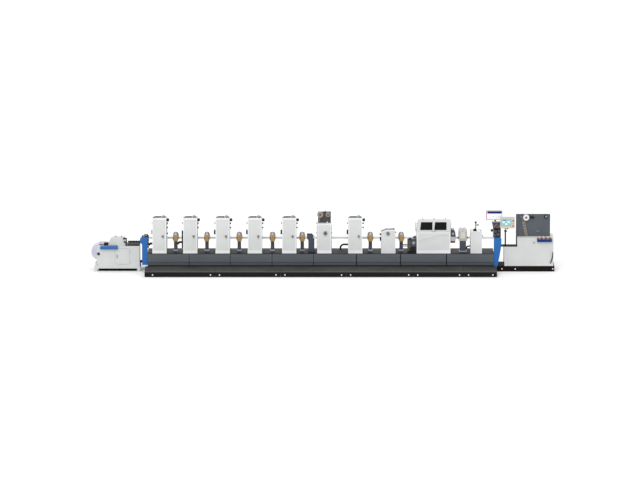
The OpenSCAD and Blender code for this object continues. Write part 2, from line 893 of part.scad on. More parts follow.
module web_guide() {
    x = bed_x0 + guide_at;
    half = guide_w / 2;
    base_h = 40;
    cheek_t = 40;
    color(slate)
        for (y = [front_y, rear_y - cheek_t])
            across(y, y + cheek_t)
                polygon([
                    [x - half, bed_h], [x + half, bed_h], [x + half, web_z - 5], [x + 20, web_z + 95],
                    [x - half - 45, web_z + 95], [x - half - 45, web_z + 20], [x - half, web_z - 30]
                ]);
    color(steel) {
        block([x - half - 15, front_y + cheek_t - bite, bed_h],
            [x + half + 15, rear_y - cheek_t + bite, bed_h + base_h]);
        for (side = [-1, 1])
            roller(x + side * 50, web_low - 40, 40, front_y + cheek_t - bite, rear_y - cheek_t + bite);
    }
}

// Foil unit

foil_x = bed_x0 + foil_at;
foil_top = bed_h + foil_h;
foil_plate_y = front_y - foil_plate_t;
reel_left_x = foil_x - 126;
reel_right_x = foil_x + 113;
reel_z = foil_top + 262;
foil_x0 = foil_x - foil_plate_w / 2 + 3;

module foil_tower() {
    color(grey_white)
        housings(foil_at, tower_w, foil_h);
}

module foil_plate() {
    color(slate) {
        block([foil_x0, foil_plate_y, foil_top],
            [foil_x0 + foil_plate_w, front_y, foil_top + foil_plate_h]);
        for (x = [reel_left_x, reel_right_x])
            roller(x, reel_z, reel_shaft_r, foil_plate_y - reel_w - 12, foil_plate_y + bite);
        translate([foil_x + 26, front_y - foil_plate_t / 2, foil_top + foil_plate_h - bite])
            cylinder(h = 26, r = 20);
        // Guide roller under the reels
        roller(foil_x + 92, foil_top + 30, 22, foil_plate_y - 60, foil_plate_y + bite);
    }
}

module reel(x, z, r, y1) {
    difference() {
        union() {
            roller(x, z, r, y1 - reel_w, y1 - seat);
            roller(x, z, reel_shaft_r + 16, y1 - reel_w - 8, y1 - reel_w);
        }
        roller(x, z, reel_shaft_r + fit, y1 - reel_w - 10, y1 + 1);
    }
}

module foil_reel_left() {
    color(gold)
        reel(reel_left_x, reel_z, reel_left_r, foil_plate_y);
}

module foil_reel_right() {
    color(gold)
        reel(reel_right_x, reel_z, reel_right_r, foil_plate_y);
}

// Varnish and slitting towers

module open_tower(x0, w, rear_top) {
    x1 = x0 + w;
    skirt_top = bed_h + skirt_h;
    block([x0, bed_y, bed_h], [x1, front_y, skirt_top]);
    block([x0, rear_y, bed_h], [x1, bed_back, rear_top]);
    block([x0, front_y - bite, bed_h], [x1, rear_y + bite, skirt_top]);
    across(bed_y + skirt_step, front_y)
        children();
}

module varnish_tower() {
    x0 = bed_x0 + varnish_at - tower_w / 2;
    left = x0 + skirt_step;
    right = x0 + tower_w - skirt_step;
    low = bed_h + skirt_h - bite;
    top = bed_h + varnish_h;
    color(grey_white)
        open_tower(x0, tower_w, top - varnish_drop)
            polygon([
                [left, low], [right, low], [right, top - 30], [right - 30, top], [left + 180, top],
                [left + 110, top - 14], [left + 45, top - 42], [left, top - varnish_drop]
            ]);
}

slit_chamfer = 80;

module slitter_tower() {
    x0 = bed_x0 + slit_at - slit_w / 2;
    left = x0 + skirt_step;
    right = x0 + slit_w - skirt_step;
    low = bed_h + skirt_h - bite;
    top = bed_h + slit_h;
    color(grey_white)
        open_tower(x0, slit_w, top - slit_chamfer)
            polygon([
                [left, low], [right, low], [right, top - slit_chamfer], [right - 56, top], [left, top]
            ]);
}

module slitter_sensor() {
    x = bed_x0 + slit_at - 19;
    y = bed_y + 120;
    top = bed_h + slit_h;
    color(dark) {
        across(y - 60, y + 60)
            polygon([[x - 78, top], [x + 27, top], [x + 27, top + 24], [x, top + 70], [x - 30, top + 70],
                [x - 78, top + 30]]);
        translate([x, y, top + 70 - bite])
            cylinder(h = 180, r = 14);
        translate([x, y, top + 240])
            cylinder(h = 52, r = 32);
        bar_x(x, x + 68, y, top + 185, 14);
        translate([x + 68, y, top + 165])
            cylinder(h = 45, r = 26);
    }
}

// Die cutter

die_x0 = bed_x0 + die_at - die_w / 2;
die_x1 = die_x0 + die_w;
die_top = bed_h + die_h;
hood_z = die_top + hood_gap;
hood_top = hood_z + hood_h;
hood_back = rear_y - 40;
hinge_y = hood_back - 40;
hinge_z = hood_z + 150;

module die_cutter() {
    bracket_t = 24;
    color(grey_white) {
        housings(die_at, die_w, die_h, 0);
        // Hinge brackets on the drive side housing
        for (x = [die_x0 - 30, die_x1 + 6]) {
            block([x, hinge_y - 25, hinge_z - 25], [x + bracket_t, bed_back, hinge_z + 25]);
            block([x, rear_y, die_top - 100], [x + bracket_t, bed_back, hinge_z]);
        }
        block([die_x0 - 30, rear_y, die_top - 100], [die_x0 + bite, bed_back, die_top - 60]);
        block([die_x1 - bite, rear_y, die_top - 100], [die_x1 + 30, bed_back, die_top - 60]);
        bar_x(die_x0 - 30, die_x0 + 60, hinge_y, hinge_z, hinge_r);
        bar_x(die_x1 - 24, die_x1 + 30, hinge_y, hinge_z, hinge_r);
    }
}

module hood_outline(t) {
    polygon([
        [die_x0 + t, hood_z - (t > 0 ? 1 : 0)], [die_x1 - t, hood_z - (t > 0 ? 1 : 0)],
        [die_x1 - t, hood_top - t], [die_x0 + hood_lean + t, hood_top - t]
    ]);
}

module hood_profile(t) {
    polygon([
        [bed_y + t, hood_z - 1], [hood_back - t, hood_z - 1], [hood_back - t, hinge_z + 60 - t],
        [front_y, hood_top - t], [bed_y + t, hood_top - t]
    ]);
}

window_z = hood_z + 70;
window_x = [die_x0 + 115, die_x0 + 550];

module window_opening(x, t) {
    translate([x, window_z])
        polygon([[t, t], [window_w - t, t], [window_w - t, window_h - t], [25 + t, window_h - t]]);
}

module die_hood() {
    color(white) {
        // Lifting eyes
        for (x = [186, 539, 889])
            translate([die_x0 + x, bed_y + 130, hood_top - bite])
                cylinder(h = 30, r = 16);
        difference() {
            intersection() {
                across(bed_y, hood_back)
                    hood_outline(0);
                along(die_x0 - 1, die_x1 + 1)
                    hood_profile(0);
            }
            intersection() {
                across(bed_y + hood_t, hood_back - hood_t)
                    hood_outline(hood_t);
                along(die_x0 - 1, die_x1 + 1)
                    hood_profile(hood_t);
            }
            for (x = window_x)
                across(bed_y - 1, bed_y + hood_t + 1)
                    window_opening(x, 0);
            bar_x(die_x0 - 40, die_x0 + 100, hinge_y, hinge_z, hinge_r + fit);
            bar_x(die_x1 - 100, die_x1 + 40, hinge_y, hinge_z, hinge_r + fit);
        }
    }
}

module die_windows() {
    color(dark)
        for (x = window_x)
            across(bed_y + 6, bed_y + 12)
                window_opening(x, 0);
}

module die_cylinders() {
    color(steel)
        for (x = [-260, 0, 260])
            cylinder_set(bed_x0 + die_at + x, 40);
}

drive_y0 = front_y - 60;
drive_y1 = web_mid - web_w / 2 - 5;

module die_drive() {
    x = bed_x0 + drive_at;
    box_x0 = x - drive_w / 2;
    box_x1 = x - 24;
    right = x + drive_w / 2;
    color(brown) {
        block([box_x0, drive_y0, bed_h], [box_x1, drive_y1 + 120, web_z - 15]);
        block([box_x0 + 36, drive_y0, web_z - 15 - bite], [box_x1 + 14, drive_y1, web_z + 35]);
    }
    color(dark)
        block([box_x1 - bite, drive_y0, bed_h], [right, drive_y1 + 120, web_z - 235]);
    color(slate) {
        across(drive_y0 + 20, drive_y1)
            polygon([
                [box_x1 - bite, web_z - 235 - bite], [right, web_z - 235 - bite], [right, web_z + 105],
                [x + 60, web_z + 90], [x + 10, web_z + 10], [box_x1 - bite, web_z - 40]
            ]);
    }
}

module matrix_unit() {
    x0 = die_x1 - skirt_step;
    clear = die_x1 + 7;
    y0 = bed_y + 60;
    cream_z = web_z - 21;
    cream_top = web_z + 112;
    color(slate) {
        // Waste winder; it keeps clear of the hood
        across(y0, front_y)
            polygon([
                [x0, cream_top], [die_x1 + 162, cream_top], [die_x1 + 145, cream_top + 130],
                [die_x1 + 109, cream_top + 195], [clear, cream_top + 195], [clear, die_top - 10],
                [x0, die_top - 10]
            ]);
        block([clear, y0, cream_top + 195 - bite], [die_x1 + 109, front_y, cream_top + 235]);
    }
    color(cream)
        block([x0, y0, cream_z], [die_x1 + 155, front_y, cream_top + bite]);
    color(brown)
        bar_x(x0, die_x1 + 143, bed_y + 130, cream_z - 38, 40);
}

module inspection_unit() {
    x = bed_x0 + inspection_at;
    half = inspection_w / 2;
    box_z = web_z - 55;
    box_top = web_z + 250;
    box_back = front_y + 420;
    post = 99;
    color(slate)
        block([x - post, front_y, bed_h + 40 - bite], [x + post, front_y + 200, box_z + bite]);
    color(steel)
        block([x - post - 25, front_y - 20, bed_h], [x + post + 25, front_y + 220, bed_h + 40]);
    color(cream)
        difference() {
            union() {
                block([x - half, front_y, box_z], [x + half, box_back, box_top]);
                for (side = [-1, 1])
                    roller(x + side * 54, box_top - 5, 48, front_y, box_back);
            }
            block([x - half - 1, web_mid - web_w / 2 - 10, web_z - dryer_slot / 2],
                [x + half + 1, web_mid + web_w / 2 + 10, web_z + dryer_slot / 2]);
        }
}

// Controls at the delivery end

console_x = bed_x1 + 90;
stem_x = bed_x1 + 41;
monitor_x = bed_x1 + 9;
neck_h = 263;
console_h = 208;
console_z = outfeed_h + neck_h;
console_top = console_z + console_h;
console_y = bed_y + 150;
console_back = bed_y + 260;
monitor_y = bed_y + 200;
monitor_low = console_top + 65;
monitor_pin_z = monitor_low + 94;
monitor_pin_r = 8;
monitor_pin_y = monitor_y + 35;

module outfeed_rollers() {
    color(steel) {
        for (at = [[-62, 60, 40], [40, 82, 52], [-40, 176, 46], [66, 196, 42]])
            roller(console_x + at[0], outfeed_h + at[1], at[2], console_y - 44, console_y);
        roller(console_x - 150, outfeed_h + 200, 30, console_y - 20, console_y + 30);
    }
}

module outfeed_console() {
    color(dark) {
        // Neck that carries the rollers, with a lug for the left one
        block([console_x - 116, console_y, outfeed_h], [console_x + 126, console_back, console_z + bite]);
        block([console_x - 186, console_y + 30, outfeed_h + 165],
            [console_x - 114, console_y + 60, outfeed_h + 235]);
        across(console_y, console_back)
            polygon([
                [console_x - 110, console_z], [console_x + 95, console_z],
                [console_x + 135, console_top], [console_x - 155, console_top]
            ]);
        block([stem_x - 24, monitor_pin_y - 15, console_top - bite],
            [stem_x + 24, monitor_pin_y + 15, monitor_pin_z + 20]);
        bar_x(stem_x - 60, stem_x + 60, monitor_pin_y, monitor_pin_z, monitor_pin_r);
    }
}

module monitor() {
    color(dark) {
        block([monitor_x - monitor_w / 2, monitor_y - monitor_t, monitor_low],
            [monitor_x + monitor_w / 2, monitor_y, monitor_low + monitor_h]);
        for (x = [stem_x - 50, stem_x + 34])
            difference() {
                block([x, monitor_y - bite, monitor_pin_z - 22],
                    [x + 16, monitor_pin_y + 22, monitor_pin_z + 22]);
                bar_x(x - 1, x + 17, monitor_pin_y, monitor_pin_z, monitor_pin_r + fit);
            }
    }
}

post_x = rewind_x0 + 250;
post_y = unit_y + 60;
hmi_z = rewind_low_h + 598;
hmi_y = unit_y - 60;
hmi_left = 165;
hmi_drop = 80;
hmi_pin_r = hmi_post_r - 9;
tray_t = 8;
hmi_foot = rewind_low_h + tray_t;

module hmi_post() {
    color(dark) {
        translate([post_x, post_y, hmi_foot])
            cylinder(h = hmi_z - hmi_drop - hmi_foot, r = hmi_post_r);
        translate([post_x, post_y, hmi_z - hmi_drop - bite])
            cylinder(h = 130 + bite, r = hmi_pin_r);
    }
}

module hmi_panel() {
    color(cream) {
        block([post_x - hmi_left, hmi_y - hmi_t / 2, hmi_z],
            [post_x - hmi_left + hmi_w, hmi_y + hmi_t / 2, hmi_z + hmi_h]);
        difference() {
            union() {
                translate([post_x, post_y, hmi_z - hmi_drop + seat])
                    cylinder(h = 120, r = hmi_post_r);
                block([post_x - 20, hmi_y + hmi_t / 2 - bite, hmi_z + 5],
                    [post_x + 20, post_y, hmi_z + 35]);
            }
            translate([post_x, post_y, hmi_z - hmi_drop - 10])
                cylinder(h = 200, r = hmi_pin_r + fit);
        }
    }
}

// The rewinder

low_x0 = rewind_x0 + plinth_left;
main_x0 = low_x0 + rewind_low_l;
rewind_back = unit_y + unwind_d;
plate_x0 = main_x0 - 37;
plate_y = unit_y + front_d;

module rewind_base() {
    color(dark)
        block([rewind_x0, unit_y, 0], [rewind_x1, rewind_back, plinth_h]);
}

module rewind_cabinet() {
    color(white) {
        block([main_x0, unit_y, plinth_h], [main_x0 + rewind_main_l, plate_y, rewind_h]);
        block([low_x0, unit_y, plinth_h], [main_x0 + bite, plate_y, rewind_low_h]);
        block([main_x0, plate_y + plate_t, plinth_h],
            [main_x0 + rewind_main_l, rewind_back, rewind_h]);
    }
}

waste_x = plate_x0 + 313;
waste_z = plate_top - 99;

module rewind_plate() {
    arm_y = plate_y - 50;
    color(slate) {
        across(plate_y, plate_y + plate_t)
            translate([plate_x0, plinth_h])
                round_rect(plate_w, plate_top - plinth_h, 25);
        roller(waste_x, waste_z, reel_shaft_r, plate_y - reel_w - 12, plate_y + bite);
        // Tension knob
        roller(plate_x0 + 921, plate_top - 72, 56, plate_y - 40, plate_y + bite);
        // Arm right of the reel
        block([waste_x + 112, arm_y, waste_z - 24], [waste_x + 244, plate_y + bite, waste_z + 24]);
        // Three-cornered web guide left of the reel
        across(arm_y, plate_y + bite)
            polygon([[plate_x0 + 92, plate_top - 32], [plate_x0 + 185, plate_top - 45],
                [plate_x0 + 212, plate_top - 110], [plate_x0 + 222, plate_top - 189],
                [plate_x0 + 190, plate_top - 189]]);
        for (at = [[665, -526, 20], [718, -548, 16]])
            roller(plate_x0 + at[0], plate_top + at[1], at[2], plate_y - 30, plate_y + bite);
    }
}

module waste_reel() {
    color(paper)
        reel(waste_x, waste_z, waste_r, plate_y);
}

// Button consoles on the unwinder and the rewinder
module button_console(x0, w, z, rise) {
    along(x0, x0 + w)
        polygon([[unit_y - 70, z], [unit_y, z], [unit_y, z + rise + 41], [unit_y - 70, z + rise]]);
}

module consoles() {
    color(blue) {
        button_console(unwind_x0 + 114, 543, unwind_h - 85, 69);
        button_console(main_x0 + 610, 456, rewind_h - 124, 75);
    }
}

// Roller table from one X to another: two rails, a tray and rollers between the rails
module roller_table(x0, x1, y0, y1, z, rail_h, at) {
    rail_t = 25;
    table_r = 13;
    block([x0, y0, z], [x1, y0 + rail_t, z + rail_h]);
    block([x0, y1 - rail_t, z], [x1, y1, z + rail_h]);
    block([x0, y0 + rail_t - bite, z], [x1, y1 - rail_t + bite, z + tray_t]);
    for (x = at)
        roller(x, z + rail_h - table_r, table_r, y0 + rail_t - bite, y1 - rail_t + bite);
}

module web_rollers() {
    pass_r = 22;
    y0 = bed_y + end_frame_d;
    y1 = bed_back - end_frame_d;
    table_x0 = hump_x1 + 70;
    color(steel)
        // Rollers under the web in the end frames
        for (i = [0, 1]) {
            roller(bed_x0 - infeed_pass[i], web_low - pass_r, pass_r, y0, y1);
            roller(bed_x1 + outfeed_pass[i], web_low - pass_r, pass_r, y0, y1);
        }
    color(dark) {
        // Roller tables on the unwinder and on the rewinder's low cabinet
        roller_table(table_x0, unwind_x1 - 10, unit_y + 60, bay_y1 + 40, unwind_h, 45,
            [for (i = [0:3]) table_x0 + 50 + i * 85]);
        roller_table(low_x0 - 105, main_x0, unit_y + 5, plate_y, rewind_low_h, 30,
            [low_x0 - 65, low_x0 + 85, low_x0 + 175, low_x0 + 265, low_x0 + 355]);
        // Rod that holds the free end of the table
        translate([low_x0 - 28, unit_y + 17, plinth_h])
            cylinder(h = rewind_low_h - plinth_h + bite, r = 8);
        block([low_x0 - 90, unit_y, plinth_h], [low_x0 - 26, unit_y + 34, plinth_h + 40]);
    }
}

module web() {
    top = [plate_x0 + 226, plate_top - 189];
    foot = [plate_x0 + 330, rewind_h];
    strip_w = 78;
    strip_y = plate_y - 20;
    color(paper) {
        block([bed_x0 - infeed_w, web_mid - web_w / 2, web_z - web_t / 2],
            [bed_x1 + outfeed_pass[1], web_mid + web_w / 2, web_z + web_t / 2]);
        // Waste web with a ladder of holes, from the guide down to the cabinet
        across(strip_y, strip_y + web_t)
            difference() {
                polygon([
                    [top[0] - strip_w / 2, top[1]], [top[0] + strip_w / 2, top[1]],
                    [foot[0] + strip_w / 2, foot[1]], [foot[0] - strip_w / 2, foot[1]]
                ]);
                for (i = [0:5]) {
                    share = (i + 0.5) / 6;
                    translate(top + share * (foot - top))
                        square([strip_w - 36, 46], center = true);
                }
            }
    }
}

// Bend in a hose, from upright to along the web
module elbow(x, y, z, bend, r) {
    translate([x, y, z])
        rotate([90, 0, 0])
            rotate([0, 0, 90])
                rotate_extrude(angle = 90)
                    translate([bend, 0])
                        circle(r = r);
}

// Hose from the deck at x0 up and over to the tower's side at x1
module deck_hose(x0, x1, y, z, bend, r) {
    translate([x0, y, bed_h])
        cylinder(h = z - bend - bed_h, r = r);
    elbow(x0 + bend, y, z - bend, bend, r);
    bar_x(x0 + bend, x1, y, z, r);
}

module hoses() {
    hose_y = rear_y + 60;
    tower_left = bed_x0 + tower_at[5] - tower_w / 2;
    slit_left = bed_x0 + slit_at - slit_w / 2;
    post_right = bed_x0 + dryer_at[6] + post_w / 2;
    box_left = bed_x0 + drive_at - drive_w / 2;
    post_1 = bed_x0 + dryer_at[0] + post_w / 2;
    duct_x = bed_x0 + tower_at[1] - tower_w / 2 + skirt_step - 6;
    arm_y = web_mid - post_d / 2 + 20;
    duct_low = web_z - 155;
    duct_high = web_z - 97;
    cover_x = main_x0 + rewind_main_l;
    color(dark) {
        deck_hose(tower_left - 235, tower_left, hose_y, bed_h + 140, 115, 28);
        deck_hose(slit_left - 105, slit_left, hose_y, bed_h + 85, 60, 22);
        // Curved cable cover low on the rewinder's front
        across(unit_y - 30, unit_y)
            polygon([
                [cover_x - 3, 607], [cover_x - 12, 500], [cover_x - 30, 400], [cover_x - 55, 320],
                [cover_x - 85, 254], [cover_x - 108, 264], [cover_x - 80, 335], [cover_x - 55, 412],
                [cover_x - 37, 505], [cover_x - 28, 607]
            ]);
        for (down = [195, 245])
            bar_x(post_right, box_left, drive_y1 + 95, web_z - down, 14);
        // Cable duct from the first dryer's post to the second tower's side duct
        across(arm_y, arm_y + 40)
            polygon([
                [post_1, web_z - 200], [post_1 + 30, web_z - 200], [post_1 + 70, duct_low],
                [duct_x, duct_low], [duct_x, duct_high], [post_1 + 46, duct_high],
                [post_1, web_z - 138]
            ]);
        block([duct_x - 40, bed_y + 160, duct_low], [duct_x, arm_y + bite, duct_high]);
    }
}

bed_frame();
deck_plate();
deck_rails();
front_panels();
rear_panels();
feet();
walkway();
unwind_base();
unwind_cabinet();
unwind_hump();
unwind_door();
unwind_bracket();
unwind_roll();
unwind_shaft();
infeed_frame();
infeed_bracket();
print_tower(0);  // print_tower_1
print_tower(1);  // print_tower_2
print_tower(2);  // print_tower_3
print_tower(3);  // print_tower_4
print_tower(4);  // print_tower_5
print_tower(5);  // print_tower_6
print_cylinders();
ink_rollers();
ink_ducts();
tower_knobs();
dryer_posts();
dryer_heads();
dryer_caps();
web_guide();
foil_tower();
foil_plate();
foil_reel_left();
foil_reel_right();
varnish_tower();
die_cutter();
die_hood();
die_windows();
die_cylinders();
die_drive();
matrix_unit();
inspection_unit();
slitter_tower();
slitter_sensor();
outfeed_frame();
outfeed_rollers();
outfeed_console();
monitor();
hmi_panel();
hmi_post();
rewind_base();
rewind_cabinet();
rewind_plate();
waste_reel();
consoles();
web_rollers();
web();
hoses();
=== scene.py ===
"""Looks of the offset label press: materials, small fittings, stage, lamps and camera."""
import math

import bmesh
import bpy
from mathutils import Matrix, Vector


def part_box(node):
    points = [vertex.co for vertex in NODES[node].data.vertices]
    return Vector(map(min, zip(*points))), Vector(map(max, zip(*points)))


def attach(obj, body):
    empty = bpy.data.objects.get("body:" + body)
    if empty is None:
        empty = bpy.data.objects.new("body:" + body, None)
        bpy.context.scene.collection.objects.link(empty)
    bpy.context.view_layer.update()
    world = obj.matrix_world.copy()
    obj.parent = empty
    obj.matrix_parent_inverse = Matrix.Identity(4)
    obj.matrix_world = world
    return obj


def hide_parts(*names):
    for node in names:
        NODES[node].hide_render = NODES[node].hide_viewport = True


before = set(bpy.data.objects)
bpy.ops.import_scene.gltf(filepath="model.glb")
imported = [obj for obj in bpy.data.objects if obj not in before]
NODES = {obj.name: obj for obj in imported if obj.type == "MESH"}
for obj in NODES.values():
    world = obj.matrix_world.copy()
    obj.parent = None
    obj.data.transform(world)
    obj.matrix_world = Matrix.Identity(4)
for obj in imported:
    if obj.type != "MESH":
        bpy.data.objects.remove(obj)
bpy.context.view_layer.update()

# Colours, as sRGB
WHITE = (0.930, 0.935, 0.932)
HOUSING = (0.850, 0.860, 0.855)
CABINET = (0.812, 0.822, 0.817)
SLATE = (0.362, 0.384, 0.408)
SLATE_POST = (0.285, 0.300, 0.352)
PLATE = (0.340, 0.362, 0.388)
DARK = (0.100, 0.098, 0.098)
DECK = (0.130, 0.135, 0.135)
TREAD = (0.240, 0.240, 0.232)
BLUE = (0.140, 0.410, 0.690)
DEEP_BLUE = (0.030, 0.180, 0.420)
GOLD = (0.715, 0.590, 0.370)
CREAM = (0.750, 0.745, 0.730)
BROWN = (0.355, 0.325, 0.305)
PAPER = (0.800, 0.800, 0.865)
STEEL = (0.640, 0.650, 0.665)
BLACK = (0.055, 0.053, 0.055)
LAVENDER = (0.790, 0.790, 0.840)
BLUE_GREY = (0.400, 0.430, 0.500)
GREY = (0.620, 0.625, 0.630)
ORANGE = (0.760, 0.330, 0.180)


def linear(srgb):
    """Scene-linear colour of an sRGB one."""
    return tuple(c / 12.92 if c <= 0.04045 else ((c + 0.055) / 1.055) ** 2.4 for c in srgb) + (1.0,)


def shade(srgb, factor):
    """The same colour, darker or lighter."""
    return tuple(min(1.0, c * factor) for c in srgb)


# Materials

class Graph:
    """Short way of adding nodes to one material."""

    def __init__(self, name):
        self.material = bpy.data.materials.new(name)
        self.material.use_nodes = True
        self.tree = self.material.node_tree
        self.shader = self.tree.nodes["Principled BSDF"]
        self.place = self.add("ShaderNodeTexCoord").outputs["Object"]

    def add(self, kind, **values):
        node = self.tree.nodes.new(kind)
        for key, value in values.items():
            setattr(node, key, value)
        return node

    def link(self, source, target):
        self.tree.links.new(source, target)

    def noise(self, scale, detail=4.0, stretch=(1.0, 1.0, 1.0), roughness=0.55):
        mapping = self.add("ShaderNodeMapping")
        mapping.inputs["Scale"].default_value = stretch
        self.link(self.place, mapping.inputs["Vector"])
        texture = self.add("ShaderNodeTexNoise")
        texture.inputs["Scale"].default_value = scale
        texture.inputs["Detail"].default_value = detail
        texture.inputs["Roughness"].default_value = roughness
        self.link(mapping.outputs["Vector"], texture.inputs["Vector"])
        return texture.outputs["Fac"]

    def ramp(self, factor, stops):
        ramp = self.add("ShaderNodeValToRGB")
        elements = ramp.color_ramp.elements
        elements[0].position, elements[0].color = stops[0]
        elements[1].position, elements[1].color = stops[-1]
        for position, colour in stops[1:-1]:
            element = elements.new(position)
            element.color = colour
        self.link(factor, ramp.inputs["Fac"])
        return ramp.outputs["Color"]

    def bump(self, height, distance, strength=1.0, normal=None):
        bump = self.add("ShaderNodeBump")
        bump.inputs["Distance"].default_value = distance
        bump.inputs["Strength"].default_value = strength
        self.link(height, bump.inputs["Height"])
        if normal is not None:
            self.link(normal, bump.inputs["Normal"])
        self.link(bump.outputs["Normal"], self.shader.inputs["Normal"])
        return bump.outputs["Normal"]


def grey(value):
    return (value, value, value, 1.0)


def painted(name, srgb, rough=0.38, peel=0.0006, vary=0.03, coat=0.0, shine=0.25):
    """Powder coated sheet: orange-peel bump, faint cloudy tone, worn sheen."""
    g = Graph(name)
    cloud = g.noise(1.7, 5.0)
    dark = linear(shade(srgb, 1.0 - vary))
    light = linear(shade(srgb, 1.0 + vary * 0.4))
    g.link(g.ramp(cloud, [(0.30, dark), (0.70, light)]), g.shader.inputs["Base Color"])
    g.link(
        g.ramp(g.noise(7.0, 6.0), [(0.3, grey(rough - 0.06)), (0.7, grey(rough + 0.08))]),
        g.shader.inputs["Roughness"],
    )
    g.shader.inputs["Coat Weight"].default_value = coat
    g.shader.inputs["Coat Roughness"].default_value = 0.25
    g.shader.inputs["Specular IOR Level"].default_value = shine
    g.bump(g.noise(260.0, 2.0), peel)
    return g.material


def metal(name, srgb, rough=0.28, stretch=(1.0, 1.0, 1.0), grain=180.0):
    """Machined steel with fine lines along one direction."""
    g = Graph(name)
    lines = g.noise(grain, 3.0, stretch)
    dark = linear(shade(srgb, 0.86))
    g.link(g.ramp(lines, [(0.3, dark), (0.7, linear(srgb))]), g.shader.inputs["Base Color"])
    g.link(g.ramp(lines, [(0.3, grey(rough)), (0.7, grey(rough + 0.14))]), g.shader.inputs["Roughness"])
    g.shader.inputs["Metallic"].default_value = 0.9
    g.bump(lines, 0.0002)
    return g.material


def rubber(name, srgb, rough=0.6):
    g = Graph(name)
    cloud = g.noise(40.0, 5.0)
    g.link(
        g.ramp(cloud, [(0.3, linear(shade(srgb, 0.8))), (0.7, linear(shade(srgb, 1.15)))]),
        g.shader.inputs["Base Color"],
    )
    g.shader.inputs["Roughness"].default_value = rough
    g.shader.inputs["Specular IOR Level"].default_value = 0.2
    g.bump(g.noise(500.0, 2.0), 0.0003)
    return g.material


def plastic(name, srgb, rough=0.45, vary=0.10):
    g = Graph(name)
    g.link(
        g.ramp(g.noise(60.0, 3.0), [(0.3, linear(shade(srgb, 1.0 - vary))), (0.7, linear(shade(srgb, 1.0 + vary)))]),
        g.shader.inputs["Base Color"],
    )
    g.shader.inputs["Roughness"].default_value = rough
    g.shader.inputs["Specular IOR Level"].default_value = 0.25
    g.bump(g.noise(700.0, 2.0), 0.0002)
    return g.material


def tread_plate(name, srgb):
    """Dark step plate with a raised chequer pattern."""
    g = Graph(name)
    cloud = g.noise(2.0, 6.0)
    g.link(
        g.ramp(cloud, [(0.3, linear(shade(srgb, 0.82))), (0.7, linear(shade(srgb, 1.12)))]),
        g.shader.inputs["Base Color"],
    )
    g.shader.inputs["Roughness"].default_value = 0.6
    g.shader.inputs["Specular IOR Level"].default_value = 0.2
    mapping = g.add("ShaderNodeMapping")
    mapping.inputs["Rotation"].default_value = (0.0, 0.0, math.radians(45))
    g.link(g.place, mapping.inputs["Vector"])
    checker = g.add("ShaderNodeTexWave", wave_type="BANDS", bands_direction="X")
    checker.inputs["Scale"].default_value = 14.0
    other = g.add("ShaderNodeTexWave", wave_type="BANDS", bands_direction="Y")
    other.inputs["Scale"].default_value = 14.0
    g.link(mapping.outputs["Vector"], checker.inputs["Vector"])
    g.link(mapping.outputs["Vector"], other.inputs["Vector"])
    both = g.add("ShaderNodeMath", operation="MULTIPLY")
    g.link(checker.outputs["Fac"], both.inputs[0])
    g.link(other.outputs["Fac"], both.inputs[1])
    g.bump(both.outputs["Value"], 0.002)
    return g.material


def paper_web(name, srgb):
    g = Graph(name)
    fibre = g.noise(900.0, 3.0)
    g.link(
        g.ramp(fibre, [(0.3, linear(shade(srgb, 0.96))), (0.7, linear(shade(srgb, 1.03)))]),
        g.shader.inputs["Base Color"],
    )
    g.shader.inputs["Roughness"].default_value = 0.55
    g.bump(fibre, 0.0001)
    return g.material


def dark_window(name):
    g = Graph(name)
    g.link(
        g.ramp(g.noise(3.0, 4.0), [(0.3, linear((0.05, 0.05, 0.05))), (0.7, linear((0.09, 0.09, 0.09)))]),
        g.shader.inputs["Base Color"],
    )
    g.shader.inputs["Roughness"].default_value = 0.12
    g.shader.inputs["Specular IOR Level"].default_value = 0.12
    return g.material


